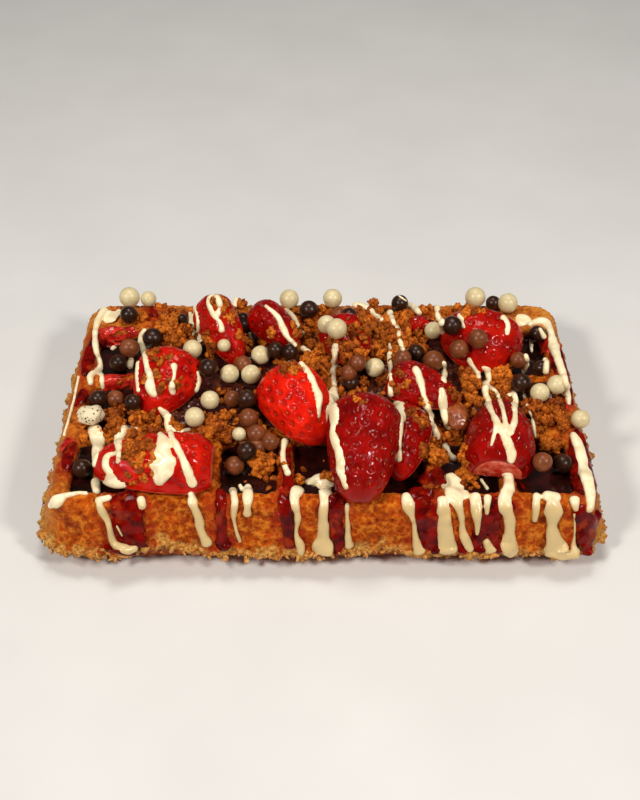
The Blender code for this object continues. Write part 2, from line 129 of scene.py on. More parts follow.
# Crumbs that lie on what the photo shows at these pixels: u, v, size across
PLACED_CRUMBS = [
    (219, 303, 7), (302, 336, 6), (228, 437, 7), (207, 436, 6), (262, 470, 9), (268, 462, 6),
    (135, 438, 9), (138, 458, 6), (146, 446, 6), (128, 444, 5), (153, 352, 6), (146, 378, 5),
    (160, 362, 5), (158, 378, 5), (172, 384, 5), (467, 376, 7), (488, 398, 6), (437, 460, 7),
    (463, 452, 7), (424, 448, 7), (421, 423, 6), (428, 405, 6), (469, 476, 8), (318, 352, 7),
    (330, 366, 6), (346, 358, 6), (355, 344, 5), (306, 364, 6), (294, 369, 6), (502, 376, 8),
    (322, 366, 7), (338, 374, 6), (350, 366, 6), (358, 352, 6), (310, 345, 6), (345, 348, 6),
    (325, 378, 5), (352, 334, 5), (318, 334, 5), (364, 340, 5), (272, 330, 5), (262, 344, 5),
    (240, 362, 5), (232, 318, 5), (240, 308, 6), (408, 384, 5), (400, 372, 5), (450, 392, 5),
    (430, 486, 6), (300, 483, 5), (328, 480, 5), (404, 325, 7), (394, 340, 7), (378, 333, 6),
    (438, 300, 5), (470, 308, 6), (482, 311, 5), (215, 421, 5), (222, 418, 5), (243, 340, 6),
    (283, 371, 5), (291, 364, 6), (298, 357, 6), (312, 362, 7), (318, 371, 6), (334, 354, 6),
    (346, 346, 6), (354, 332, 6), (348, 356, 6), (297, 334, 6), (302, 342, 6), (310, 326, 5),
    (232, 312, 5), (230, 319, 5), (238, 334, 5), (210, 341, 6), (214, 349, 6), (240, 303, 6),
    (366, 330, 6), (375, 337, 6), (364, 321, 6), (385, 325, 6), (405, 319, 6), (406, 341, 6),
    (400, 322, 6), (408, 329, 6), (418, 333, 6), (388, 331, 6), (464, 314, 6), (476, 310, 6),
    (456, 394, 6), (468, 378, 6), (472, 387, 6), (496, 378, 7), (507, 389, 6), (541, 412, 6),
    (548, 409, 7), (556, 418, 6), (560, 428, 6), (544, 424, 6), (545, 443, 6), (553, 447, 6),
    (421, 420, 6), (412, 411, 6), (424, 451, 6), (433, 458, 7), (463, 451, 5), (115, 420, 8),
    (122, 413, 6), (139, 417, 7), (152, 421, 7), (146, 415, 5), (137, 439, 8), (129, 449, 6),
    (147, 443, 6), (163, 333, 6), (171, 328, 7), (182, 332, 7), (176, 322, 6), (211, 422, 6),
    (208, 434, 5), (168, 358, 4), (155, 372, 4), (163, 387, 4), (179, 386, 4), (372, 350, 6),
    (343, 396, 3), (351, 394, 3), (358, 398, 4), (362, 402, 3), (382, 356, 6), (366, 364, 5),
    (374, 372, 6), (384, 380, 6), (395, 388, 6), (362, 384, 5),
    (122, 455, 5), (131, 462, 4), (139, 470, 4), (148, 464, 5), (143, 478, 4), (127, 474, 4),
    (153, 456, 5), (134, 450, 6), (150, 448, 5), (152, 474, 3), (134, 482, 3), (212, 345, 7),
    (207, 337, 5), (283, 360, 7), (292, 352, 6), (300, 349, 6), (322, 346, 7), (331, 341, 6),
    (412, 345, 5), (425, 341, 5), (300, 312, 4), (322, 310, 4), (374, 306, 5), (420, 306, 5),
]

# Pearls sunk in the crumbs: x, y, diameter
SUNK_DARK = [(-29, 34, 6), (-17, 18, 6), (-11, 14, 6), (-26, -8, 6), (13, 10, 6), (10, 2, 6),
             (-53, 40, 5)]
SUNK_MILK = [(-31, -7, 6), (27, 6, 6), (6, 38, 6)]

# Pearls that lie on the other toppings: the pixel where the photo shows them, diameter
LOOSE_WHITE = [(148.5, 299, 6.0), (224, 345, 4.6), (239, 434, 4.6)]
LOOSE_DARK = [(98, 399, 6.0), (133, 402, 5.6), (247, 399, 6.4), (247, 451, 6.4), (493, 303, 5.6),
              (275, 343, 6.0), (290, 352, 6.0), (537, 334, 6.4), (243, 320, 5.6), (541, 368, 5.6)]
LOOSE_MILK = [(248.5, 418, 6.6), (256, 434, 6.6), (269.5, 441, 6.2), (542.5, 462, 6.4),
              (339, 316, 6.4), (518, 360, 5.8), (243, 364, 6.0), (402, 366, 6.4), (348.7, 376.5, 5.8),
              (357.5, 363, 6.0)]

# Half-melted pearl on the left rim: pixel, half sizes and how far it is set back and up
MELTED_PIXEL = (90, 418)
MELTED_SIZE = (4.5, 4.0, 3.2)
MELTED_SHIFT = (0.0, 0.8, 0.8)

# Glazed nut: pixel, sizes and yaw
NUT_PIXEL = (455, 419)
NUT_SIZE = (16.0, 7.4, 7.0)
NUT_YAW = math.radians(97)

# Where the front's torn seam is bitten away: x, half width and how far it rises
SEAM_BITES = [(-52.5, 7.0, 3.4), (-44.0, 6.0, 1.6), (22.0, 7.0, 2.0), (12.5, 4.0, 1.4), (-90.0, 5.0, 1.2)]

# White drizzle where the photo shows it: u, v in the photo's pixels and width in millimetres
WHITE_STRANDS = [
    [(98.5, 501, 2.4), (111, 498.5, 2)],
    [(99, 503, 2.4), (103, 512, 2.8), (108, 521, 2.4), (112, 536, 2.2), (116, 545, 2.8), (125, 550, 4),
     (136, 547, 2.2)],
    [(117, 526, 0.8), (123, 537, 0.8)],
    [(141, 500, 2.6), (142, 508, 2.4)],
    [(190.7, 494, 2), (192.6, 503, 3.2), (198, 516, 2.8), (202, 532, 3), (208, 544, 3.8)],
    [(232.8, 492, 2.4), (234.7, 503, 2.4), (233.8, 516, 1.6), (236.6, 532, 1.3), (240.5, 542, 1.3)],
    [(248, 488, 2.6), (248, 497, 4), (247.4, 508, 2.4), (247, 514, 3)],
    [(297, 491, 4.4), (294, 501, 3.2), (298, 516, 2.2), (296, 532, 1.6), (300, 546, 3), (300, 553, 2.4)],
    [(325.7, 491, 4.6), (323.8, 508, 3.2), (323.4, 531, 3.8), (323, 545, 6.6), (323, 552, 8)],
    [(346.8, 505, 1.5), (347.7, 527, 1.6), (348.7, 546, 3.4)],
    [(406, 497, 3), (409, 508, 3.4), (413.7, 520, 1.8), (414.7, 535, 2), (417.6, 546, 4), (420, 552, 4.6)],
    [(454, 495, 7), (457.7, 504, 4), (461.6, 518, 2), (462.5, 531, 2.4), (467, 545, 3.2), (470, 550, 2)],
    [(442.4, 500, 4.4), (443.4, 515, 4.8), (445, 532, 5), (446.5, 545, 6.6), (447, 552, 7)],
    [(475, 497, 4), (477, 512, 3.6), (477.8, 525, 2), (477, 535, 1)],
    [(487, 498, 2.4), (486.4, 514, 1.6)],
    [(486.4, 541, 2.4), (491, 551, 4.6)],
    [(508, 489, 4), (504, 503, 5), (509, 516, 3.6), (509.4, 531, 4), (508, 544, 6.4), (513, 553, 5)],
    [(536, 497, 2.8), (536, 510, 2.4), (534.4, 521, 1.5)],
    [(546, 497, 3.6), (558, 498, 3.6)],
    [(552, 502, 4.4), (553.4, 513, 5.6), (551.6, 527, 3.6), (554, 540, 6.4), (557, 552, 9)],
    [(574, 500, 3.6), (576, 510, 1.8)],
    [(574.4, 514, 0.8), (574.4, 535, 1), (573, 547, 2.4), (575, 553, 4.4)],
    [(549, 553, 3), (563, 555, 3.4), (577, 554, 3)],
    [(104, 311, 3), (97, 324, 2.6), (95, 339, 2.2), (96, 353, 2), (99, 368, 2.4), (91, 376, 2.4),
     (90, 385, 1.8)],
    [(101, 375, 1.8), (103, 388, 2)],
    [(145, 331, 2), (141, 336, 2.4), (142, 346, 2.8), (145, 356, 2.2), (147, 369, 2.4),
     (149, 377, 3.2), (151, 390, 3.4), (155, 395, 2.4)],
    [(138, 364, 2.8), (137, 377, 2.2), (138, 391, 2.6)],
    [(131, 361, 2.8), (130, 369, 2.6)],
    [(174.5, 366, 2.6), (174.5, 374, 1.4), (173, 383, 2), (172.5, 394, 2.4)],
    [(198, 373, 1.8), (199, 381, 2.2), (196, 391, 2.6)],
    [(160, 409, 1.8), (168, 417, 3.6), (168, 426, 3), (172, 437, 2.4), (177, 447, 2.6),
     (184, 461, 2.8), (190, 477, 3.2), (193, 485, 2.8)],
    [(168, 427, 1.6), (179, 432, 1.4), (191, 429, 1.4)],
    [(160.5, 434, 2.6), (163, 444, 5), (163, 456, 8), (162, 466, 9), (160, 476, 7), (159, 484, 4)],
    [(137, 430, 1.8), (128, 429, 2.6), (121, 433, 3.2), (118, 443, 3.4), (120, 454, 2), (117, 463, 2)],
    [(117, 453, 1.4), (107, 456, 3), (105, 466, 3.8), (110, 473, 4), (113, 480, 7.6), (114, 486, 8.4)],
    [(93, 427, 4.6), (97, 436, 5.2), (99, 446, 4.6), (96, 457, 3.6), (94, 465, 2.4)],
    [(96, 482, 3.6), (97, 493, 3)],
    [(52, 505, 2.6), (58, 501, 3.8), (67, 496, 2.4), (78, 494, 1.5), (88, 494, 1.2)],
    [(79, 377, 1), (72, 409, 1), (64, 437, 1)],
    [(198, 334, 1.8), (198, 319, 2), (195, 305, 2), (199, 297, 2.4)],
    [(222.5, 330, 2.2), (220, 322, 1.8), (212, 313, 2.4), (208, 300, 1.8), (211, 296, 2.2),
     (217, 297, 2.4), (220, 309, 2), (215, 318, 2.4)],
    [(190, 314, 1.6), (192, 336, 1.8)],
    [(266, 306, 1.6), (277, 316, 2.4), (283, 328, 2.6), (288, 338, 2), (296, 347, 1.4)],
    [(286, 310, 1.6), (291, 315, 2.2), (297, 325, 1.8), (305, 334, 1.4)],
    [(232, 304, 1.8), (238, 298, 2.2), (246, 297, 2.4), (252, 303, 1.8)],
    [(302, 349, 2), (309, 353, 2.2)],
    [(301, 364, 2.4), (308, 371, 2.8), (315, 387, 3), (319, 399, 3), (319, 418, 1.2)],
    [(335.5, 346, 2.8), (335, 359, 2.2), (333, 372, 3), (333, 387, 2.4)],
    [(334, 391, 3.6), (331, 402, 5), (334, 419, 4.8), (332.5, 435, 3.4), (338.5, 451, 4),
     (341, 470, 3.6), (344, 482, 2.8), (346, 488, 1.8)],
    [(398.5, 404, 3.6), (401.5, 416, 3), (400, 437, 2.2), (399, 461, 2)],
    [(398.5, 472, 2.6), (398.5, 474, 2.6)],
    [(356, 306, 3.6), (369, 310, 2.8), (382, 321, 2)],
    [(390, 314, 3.4), (393, 324, 2.4), (398.5, 333, 2), (403, 351, 2)],
    [(390, 344, 1.4), (390, 360, 2), (390.5, 378, 1.6), (391, 397, 1.8)],
    [(250, 334, 1.2), (252, 343, 1.2)],
    [(285, 442, 2.4), (283, 459, 1.8), (288, 475, 2.6)],
    [(460, 315, 2.2), (464, 328, 1.8)],
    [(504, 318, 3), (508, 324, 2.8), (507, 335, 1.8)],
    [(436.6, 301, 2), (438, 318, 2.4), (444, 324, 2.6)],
    [(410, 306, 3), (421, 313, 2.4)],
    [(531, 342, 1.6), (531.5, 353, 1.4)],
    [(530, 325, 2.4), (538, 322, 3), (545, 323, 3.6), (550, 332, 3.2), (553, 345, 4), (557, 358, 3.4),
     (561.5, 372, 3), (565, 385, 2.6), (567.5, 397, 2.4), (569, 405, 2)],
    [(574, 436, 3), (579.5, 452, 4), (583, 469, 4), (587.5, 483, 4), (589.5, 494, 4.2), (589.5, 503, 3.2),
     (588, 511, 2)],
    [(398.5, 296, 0.8), (407, 302, 0.8)],
    [(525, 356, 1.8), (527, 367, 2)],
    [(546, 360, 2), (545, 373, 2.2)],
    [(540, 330, 2), (544, 338, 2.2)],
    [(416.7, 369, 3.2), (421, 382, 2.6), (424, 397, 2.2), (429, 412, 2.4), (433.6, 428, 2.2),
     (436.6, 438, 2.6)],
    [(443, 363, 2), (444, 382, 2.4)],
    [(442, 391, 2.6), (444, 406, 3.6), (447, 421, 2.2), (449, 429, 2.2)],
    [(444, 446, 3), (450, 455, 2.4), (453.5, 460, 3)],
    [(469, 360, 2.2), (475, 371, 2.4), (478, 378, 1.8)],
    [(484, 368, 2), (489, 371, 2.4), (490, 382, 2)],
    [(485.6, 385, 3), (487, 400, 2.4), (495, 418, 2.4), (502, 432, 2.6), (508, 443, 3.8),
     (511.6, 454, 3.8), (511.6, 461, 2.4)],
    [(492, 388, 1.4), (501, 403, 1.6), (505, 420, 1.6), (507, 432, 2.8)],
    [(509, 395, 2), (514, 396, 2.2), (514.7, 408, 2.6), (514.7, 421, 2.2), (510, 434, 2.8)],
    [(496, 420, 2), (494, 436, 1.6), (491, 446, 1.2)],
    [(524, 395, 1.2), (528.5, 408, 1.2), (533, 423, 1.2), (535.4, 438, 1.2)],
    [(449, 478, 5), (456, 487, 7), (452, 496, 6)],
    [(507, 475, 4.6), (508.6, 484, 3.4), (508, 492, 4.6)],
    [(481, 480, 1.2), (488, 490, 1.4)],
    [(240, 486, 1.2), (243, 492, 1.4)],
    [(313, 482, 2.6), (320, 480, 4.4), (329, 483, 4)],
]

# Thin red smears the same way
RED_SMEARS = [
    [(98, 330, 2), (108, 331, 3.4), (120, 329, 2.6), (133, 330, 3)],
    [(97, 337, 3), (106, 336, 4.4), (116, 339, 3), (128, 336, 4), (138, 333, 2.4)],
    [(101, 344, 2.4), (112, 345, 3.4), (125, 343, 2.4)],
    [(101, 380, 2.4), (112, 377, 3.2), (124, 376, 2.6), (134, 374, 2.8)],
    [(103, 387, 2.6), (114, 384, 4.2), (126, 383, 3.4), (134, 380, 2.4)],
    [(62, 450, 2), (66, 443, 4), (70, 440, 2)],
    [(282, 489, 3), (283, 505, 3), (280, 515, 2)],
    [(560, 372, 2), (565, 392, 2), (568, 410, 2)],
    [(535, 338, 4), (545, 346, 5), (553, 350, 5)],
    [(470, 318, 3), (462, 322, 3)],
]

# Red sauce the same way
RED_STRANDS = [
    [(98, 342, 5), (112, 347, 4)],
    [(97, 334, 2.4), (93, 345, 4.4), (90, 355, 5), (87, 366, 4), (84, 376, 2)],
    [(84, 392, 3), (81, 400, 4.4), (77, 406, 2.4)],
    [(74, 444, 2), (69, 452, 4), (67, 463, 4), (66, 472, 2.4)],
    [(100, 406, 2), (94, 422, 2)],
    [(154, 312, 3), (155, 317, 3.6)],
    [(148, 320, 1.6), (153, 305, 1.4)],
    [(287, 450, 3), (285.5, 460, 3.6), (287, 472, 3.4), (288.3, 487, 3.8), (285, 503, 5), (288, 526, 4),
     (290, 547, 3.8)],
    [(122, 496, 9), (126, 506, 10), (127, 518, 12), (126, 532, 12), (127, 546, 15), (127, 553, 12)],
    [(221, 492, 4.4), (221, 516, 4), (222.3, 535, 4), (223, 549, 8)],
    [(337, 498, 6.4), (335.5, 520, 5.8), (338, 539, 5), (337, 553, 4)],
    [(420, 500, 6), (427, 516, 8), (434, 533, 4.6), (435, 552, 4.4)],
    [(425, 508, 6), (423, 527, 5), (427, 546, 5)],
    [(482.6, 500, 4.4), (481.7, 520, 4.4), (479, 535, 4.8), (478, 551, 5.4)],
    [(496, 500, 4.4), (492, 520, 6), (496, 535, 5), (499, 551, 3.4)],
    [(461.6, 542, 3), (463.5, 551, 4)],
    [(510, 505, 3), (513, 508, 2.4)],
    [(579, 508, 5), (586, 526, 8.4), (586, 546, 6), (586, 553, 5)],
    [(597, 514, 5), (590, 525, 6)],
    [(340, 496, 2.4), (334, 480, 1.6)],
    [(560, 350, 1.6), (564.5, 368, 2), (569, 386, 1.8), (572, 405, 1.6)],
    [(556, 352, 5), (557, 366, 4.6), (560, 376, 3)],
    [(577, 432, 3), (584, 450, 4), (588, 468, 4), (592, 484, 3.4), (594, 498, 2)],
    [(572, 440, 2.4), (574, 460, 4), (579, 480, 5), (586, 494, 5)],
    [(420, 478, 3), (432, 480, 6), (440, 474, 5), (444, 486, 4)],
    [(412, 494, 6), (432, 495, 5)],
    [(425, 318, 2.4), (436, 324, 3)],
    [(516, 480, 2), (524, 489, 1.6)],
]

# Puddles of white on the rim and in the pockets: u, v and the two sizes of the patch
WHITE_PUDDLES = [
    (112, 316, 9, 10), (444, 488, 9, 9), (456, 494, 11, 6),
    (201, 339, 4, 4), (113, 348, 2.6, 3), (523, 321, 6, 6), (318, 481, 9, 4), (325, 485, 7, 4),
]

# Cut strawberries: end of the name, x, y, length, width, height, yaw, pitch (tip down), roll, sharpness
# of the tip and how bright a red it has, from 0 deep to 1 light
STRAWBERRIES = [
    ("middle", -7.5, -13, 31, 24, 13, -62, 6, 0, 0.45, 1.0),
    ("front_side", 27.5, -29, 28, 17, 10, -100, 4, 20, 0.5, 0.08),
    ("front", 12.8, -37, 35, 24, 13, -95, 20, 0, 0.38, 0.1),
    ("front_left", -55, -37, 39, 22, 13, 178, 0, 0, 0.36, 0.62),
    ("front_right", 59, -25, 30, 24, 14, 82, -10, 0, 0.5, 0.12),
    ("left", -55, -1, 26, 24, 11, -105, 6, 0, 0.5, 0.55),
    ("right", 57, 19.5, 22, 30, 13, -102, 4, 0, 0.5, 0.34),
    ("back_left", -36, 23, 29, 15, 12, -62, 14, -8, 0.6, 0.45),
    ("back_middle", -16, 25, 24, 14, 9, -48, 8, 6, 0.6, 0.15),
    ("centre", 9, 17.5, 22, 19, 8, -78, 4, 0, 0.5, 0.3),
    ("right_middle", 35, -6, 25, 18, 8, -24, 4, 0, 0.5, 0.1),
    ("back_piece", 38, 34, 11, 8, 5, 10, 0, 0, 0.5, 0.3),
]

# Where small crumbs fall: x, y, half sizes of the patch and how many
CRUMB_PATCHES = [
    (0, 8, 60, 28, 620), (12, 22, 16, 16, 160), (46, -12, 10, 14, 110), (72, -12, 14, 10, 110),
    (-36, 40, 10, 8, 60), (-52, 28, 8, 8, 80), (-55, 0, 10, 11, 110), (-66, -17, 14, 6, 110),
    (-58, -28, 9, 10, 90), (-30, -18, 14, 9, 110), (30, 30, 16, 14, 160), (28, 46, 30, 5, 90),
    (-45, 46, 26, 5, 60), (62, -16, 8, 7, 70), (37, -18, 7, 8, 80), (8, 12, 12, 10, 120),
    (62, 36, 10, 6, 30), (0, -20, 80, 28, 90), (-20, -32, 8, 8, 30), (-34, 24, 9, 10, 50),
    (50, -38, 6, 6, 20), (3, -36, 6, 6, 18), (59, -18, 8, 8, 34), (35, -6, 10, 8, 60),
]


def new_object(name, data):
    item = bpy.data.objects.new(name, data)
    bpy.context.scene.collection.objects.link(item)
    return item


class Parts:
    """Meshes that are gathered into one object, in millimetres, with a tint for each part."""

    def __init__(self):
        self.points = []
        self.faces = []
        self.slots = []
        self.tints = []
        self.count = 0

    def add(self, points, faces, slot=0, tint=0.5):
        self.points.append(np.asarray(points, dtype=float))
        self.faces += [[corner + self.count for corner in face] for face in faces]
        self.slots += [slot] * len(faces)
        self.tints += [tint] * len(points)
        self.count += len(points)

    def build(self, name, materials):
        points = np.concatenate(self.points)
        mesh = bpy.data.meshes.new(name)
        mesh.from_pydata((points * MM).tolist(), [], self.faces)
        for material in materials:
            mesh.materials.append(material)
        mesh.polygons.foreach_set("material_index", self.slots)
        mesh.polygons.foreach_set("use_smooth", [True] * len(self.faces))
        write_attribute(mesh, "tint", self.tints)
        mesh.update()
        return new_object(name, mesh)

    def piece(self, name, material, replaced=()):
        """The gathered meshes as one finished piece."""
        return finish_piece(self.build(name, [material]), replaced)


def finish_piece(item, replaced=()):
    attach(item, "root")
    if replaced:
        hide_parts(*replaced)
    return item


def apply_modifiers(item):
    depsgraph = bpy.context.evaluated_depsgraph_get()
    mesh = bpy.data.meshes.new_from_object(item.evaluated_get(depsgraph))
    item.modifiers.clear()
    item.data = mesh


def remesh(item, voxel, smooth_steps):
    """Fuse overlapping closed parts into one even skin and soften it."""
    skin = item.modifiers.new("skin", "REMESH")
    skin.mode = "VOXEL"
    skin.voxel_size = voxel * MM
    skin.use_smooth_shade = True
    soften = item.modifiers.new("soften", "SMOOTH")
    soften.factor = 0.5
    soften.iterations = smooth_steps
    apply_modifiers(item)


def read_vectors(mesh, name):
    flat = np.empty(len(mesh.vertices) * 3)
    mesh.vertices.foreach_get(name, flat)
    return flat.reshape(-1, 3)


def read_points(mesh):
    return read_vectors(mesh, "co") / MM


def write_points(mesh, points):
    mesh.vertices.foreach_set("co", (points * MM).ravel())
    mesh.update()


def write_attribute(mesh, name, values):
    layer = mesh.attributes.new(name, "FLOAT", "POINT")
    layer.data.foreach_set("value", values)


def rough(point, scale, seed, octaves):
    """Uneven noise at a point, about between -1 and 1."""
    place = Vector(point) * scale + Vector((seed * 3.1, seed * 1.7, seed * 0.9))
    return noise.fractal(place, 1.0, 2.0, octaves)


def rough_in_plan(point, scale, seed, octaves):
    """The same noise whatever the height of the point."""
    return rough((point.x, point.y, 0.0), scale, seed, octaves)


def swells(points, amount, scale, seed, octaves):
    """How far uneven noise pushes each point of a ball out or in, as a factor."""
    return np.array([1.0 + amount * rough(point, scale, seed, octaves) for point in points])[:, None]


def random_turn(draw):
    """Three random angles as a matrix."""
    return Euler([draw.uniform(0, math.tau) for _ in range(3)]).to_matrix()


def knobbly(points, low, high, draw):
    """Points of a ball, each pushed out or in at random."""
    return points * np.array([draw.uniform(low, high) for _ in points])[:, None]


def tumbled(points, turn, stretch):
    """Points stretched along three axes and then turned."""
    return points @ np.array(turn @ Matrix.Diagonal(stretch)).T


def smooth_step(low, high, value):
    share = np.clip((value - low) / (high - low), 0.0, 1.0)
    return share * share * (3.0 - 2.0 * share)


def ball_shape(subdivisions):
    """Corner points and faces of a ball of radius 1."""
    ball = bmesh.new()
    bmesh.ops.create_icosphere(ball, subdivisions=subdivisions, radius=1.0)
    points = np.array([vert.co[:] for vert in ball.verts])
    faces = [[vert.index for vert in face.verts] for face in ball.faces]
    ball.free()
    return points, faces


# Balls of 20, 80, 320 and 1,280 triangles
CHIP = ball_shape(1)
GRAIN = ball_shape(2)
CORE = ball_shape(3)
BALL = ball_shape(4)


# Materials

class Look:
    """A material in the making: its nodes, its shader and the object's own coordinates."""

    def __init__(self, name, roughness=0.5, **plain):
        self.material = bpy.data.materials.new(name)
        self.material.use_nodes = True
        self.nodes = self.material.node_tree.nodes
        self.links = self.material.node_tree.links
        self.shader = self.nodes["Principled BSDF"]
        self.shader.inputs["Roughness"].default_value = roughness
        for socket, value in plain.items():
            self.shader.inputs[socket.replace("_", " ")].default_value = value
        self.place = self.nodes.new("ShaderNodeTexCoord").outputs["Object"]

    def join(self, socket, value):
        if isinstance(value, bpy.types.NodeSocket):
            self.links.new(value, socket)
        elif isinstance(value, tuple):
            socket.default_value = (*value, 1.0)
        else:
            socket.default_value = value

    def grain(self, size, detail=4.0, roughness=0.6):
        """Noise whose features are about this many millimetres across."""
        node = self.nodes.new("ShaderNodeTexNoise")
        node.inputs["Scale"].default_value = 1.0 / (size * MM)
        node.inputs["Detail"].default_value = detail
        node.inputs["Roughness"].default_value = roughness
        self.links.new(self.place, node.inputs["Vector"])
        return node.outputs["Fac"]

    def cells(self, size):
        node = self.nodes.new("ShaderNodeTexVoronoi")
        node.inputs["Scale"].default_value = 1.0 / (size * MM)
        self.links.new(self.place, node.inputs["Vector"])
        return node.outputs["Distance"]

    def painted(self, name):
        node = self.nodes.new("ShaderNodeAttribute")
        node.attribute_name = name
        return node.outputs["Fac"]

    def span(self, value, low, high, out_low=0.0, out_high=1.0):
        node = self.nodes.new("ShaderNodeMapRange")
        self.join(node.inputs["Value"], value)
        node.inputs["From Min"].default_value = low
        node.inputs["From Max"].default_value = high
        node.inputs["To Min"].default_value = out_low
        node.inputs["To Max"].default_value = out_high
        return node.outputs["Result"]

    def sum(self, operation, first, second):
        node = self.nodes.new("ShaderNodeMath")
        node.operation = operation
        self.join(node.inputs[0], first)
        self.join(node.inputs[1], second)
        return node.outputs["Value"]

    def scaled(self, value, factor):
        return self.sum("MULTIPLY", value, factor)

    def mix(self, share, first, second):
        node = self.nodes.new("ShaderNodeMix")
        node.data_type = "RGBA"
        self.join(node.inputs["Factor"], share)
        self.join(node.inputs[6], first)
        self.join(node.inputs[7], second)
        return node.outputs[2]

    def over(self, base, share, strength, colour):
        """A colour laid over a base as strongly as a share of it says."""
        return self.mix(self.scaled(share, strength), base, colour)

    def patches(self, size, low, high, detail=4.0, roughness=0.6):
        """Noise of a size in millimetres, from 0 at the low level to 1 at the high one."""
        return self.span(self.grain(size, detail, roughness), low, high)

    def two_tone(self, share, dark, light):
        self.colour(self.mix(share, dark, light))

    def colour(self, value):
        self.join(self.shader.inputs["Base Color"], value)

    def bump(self, height, depth):
        """Relief of about this many millimetres from a height between 0 and 1."""
        node = self.nodes.new("ShaderNodeBump")
        node.inputs["Distance"].default_value = depth * MM
        self.links.new(height, node.inputs["Height"])
        self.links.new(node.outputs["Normal"], self.shader.inputs["Normal"])


def crust_material():
    look = Look("waffle_crust", 0.38, Specular_IOR_Level=0.10)
    pits = look.grain(1.1, 4.0, 0.7)
    height = look.sum("ADD", pits, look.scaled(look.cells(2.2), 0.5))
    height = look.sum("ADD", height, look.scaled(look.grain(3.4, 3.0), 0.9))
    # Painted shade in the hollows of the relief and painted highlight on its ridges, both taken from the
    # same height as the bump
    ridge = look.span(height, 1.16, 1.42)
    hollow_shade = look.span(height, 1.08, 0.84)
    blotch = look.patches(8.0, 0.38, 0.62, 5.0, 0.65)
    baked = look.mix(blotch, (0.30, 0.036, 0.001), (0.64, 0.092, 0.002))
    # Painted shade: darker in the hollows
    baked = look.over(baked, hollow_shade, 0.85, (0.12, 0.013, 0.001))
    baked = look.over(baked, look.painted("golden"), 0.7, (0.86, 0.37, 0.065))
    # Painted highlight: lighter on the ridges
    baked = look.over(baked, ridge, 0.75, (0.90, 0.28, 0.022))
    # Sauce stain and painted shade on the pockets' walls
    baked = look.over(baked, look.painted("sauce_and_shade"), 0.8, (0.085, 0.010, 0.004))
    baked = look.over(baked, look.painted("stained"), 0.75, (0.42, 0.020, 0.004))
    torn = look.mix(look.span(pits, 0.38, 0.62), (0.42, 0.11, 0.010), (0.88, 0.48, 0.12))
    look.two_tone(look.painted("torn"), baked, torn)
    look.bump(height, 1.5)
    return look.material


def bed_material():
    look = Look("crumb_bed", 0.35, Specular_IOR_Level=0.2, Coat_Weight=0.25, Coat_Roughness=0.1)
    fine = look.grain(1.1, 5.0, 0.7)
    crumb = look.mix(look.span(fine, 0.35, 0.65), (0.035, 0.006, 0.002), (0.17, 0.032, 0.004))
    # Sauce and painted shade darken the bed's low spots
    look.two_tone(look.painted("sauce_and_shade"), crumb, (0.050, 0.004, 0.003))
    look.bump(look.sum("ADD", fine, look.grain(3.0)), 1.0)
    return look.material


def crumb_material():
    look = Look("biscuit_crumb", 0.5, Specular_IOR_Level=0.12)
    tint = look.painted("tint")
    fine = look.grain(0.8, 5.0, 0.7)
    dark = look.mix(tint, (0.060, 0.009, 0.002), (0.30, 0.050, 0.003))
    light = look.mix(tint, (0.34, 0.058, 0.004), (0.95, 0.27, 0.022))
    look.two_tone(look.span(fine, 0.36, 0.62), dark, light)
    look.bump(fine, 0.6)
    return look.material


def flake_material():
    look = Look("torn_flake", 0.6)
    fine = look.grain(0.9, 4.0, 0.7)
    look.two_tone(look.span(fine, 0.35, 0.65), (0.46, 0.14, 0.016), (0.80, 0.42, 0.10))
    look.bump(fine, 0.4)
    return look.material


def berry_material():
    look = Look("strawberry_skin", 0.26, Specular_IOR_Level=0.04, Coat_Weight=0.48, Coat_Roughness=0.03,
                Coat_IOR=WET_COAT)
    patch = look.patches(7.0, 0.36, 0.66)
    deep = look.mix(patch, (0.10, 0.0006, 0.0006), (0.27, 0.001, 0.0008))
    light = look.mix(patch, (0.48, 0.003, 0.001), (0.88, 0.018, 0.003))
    red = look.mix(look.painted("tint"), deep, light)
    # Painted shade in the seed dimples
    red = look.over(red, look.painted("dimple"), 0.35, (0.16, 0.002, 0.002))
    look.colour(look.over(red, look.painted("tip"), 0.2, (0.60, 0.012, 0.004)))
    look.bump(look.grain(1.3, 2.0), 0.16)
    return look.material


def flesh_material():
    look = Look("strawberry_flesh", 0.24, Coat_Weight=0.5, Coat_Roughness=0.08)
    look.two_tone(look.patches(2.6, 0.40, 0.64, 3.0), (0.46, 0.010, 0.005), (0.74, 0.15, 0.075))
    look.bump(look.grain(0.8), 0.2)
    return look.material


def seed_material():
    look = Look("strawberry_seed", 0.3, Specular_IOR_Level=0.2, Coat_Weight=0.4)
    look.two_tone(look.painted("tint"), (0.20, 0.008, 0.002), (0.52, 0.085, 0.008))
    return look.material


def sauce_material():
    look = Look("dark_sauce", 0.10, Specular_IOR_Level=0.2, Coat_Weight=0.3, Coat_Roughness=0.03)
    look.two_tone(look.patches(7.0, 0.4, 0.65), (0.008, 0.003, 0.002), (0.035, 0.004, 0.003))
    look.bump(look.grain(4.5, 2.0), 0.12)
    return look.material


def red_material():
    look = Look("red_sauce", 0.14, Specular_IOR_Level=0.04, Coat_Weight=0.3, Coat_Roughness=0.03,
                Coat_IOR=WET_COAT)
    red = look.mix(look.patches(4.0, 0.38, 0.64), (0.055, 0.001, 0.001), (0.22, 0.003, 0.001))
    thin = look.patches(5.5, 0.56, 0.66, 3.0)
    look.colour(look.over(red, thin, 0.6, (0.36, 0.035, 0.004)))
    look.bump(look.grain(2.6, 2.0), 0.35)
    return look.material


def smear_material():
    """Thin red sauce; its light pink patches are partly the pale crust shining through and partly painted
    highlight.
    """
    look = Look("red_smear", 0.16, Specular_IOR_Level=0.2, Coat_Weight=0.6, Coat_Roughness=0.05,
                Coat_IOR=WET_COAT)
    look.two_tone(look.patches(3.0, 0.40, 0.64), (0.27, 0.004, 0.002), (0.70, 0.038, 0.018))
    look.bump(look.grain(1.6, 3.0), 0.3)
    return look.material


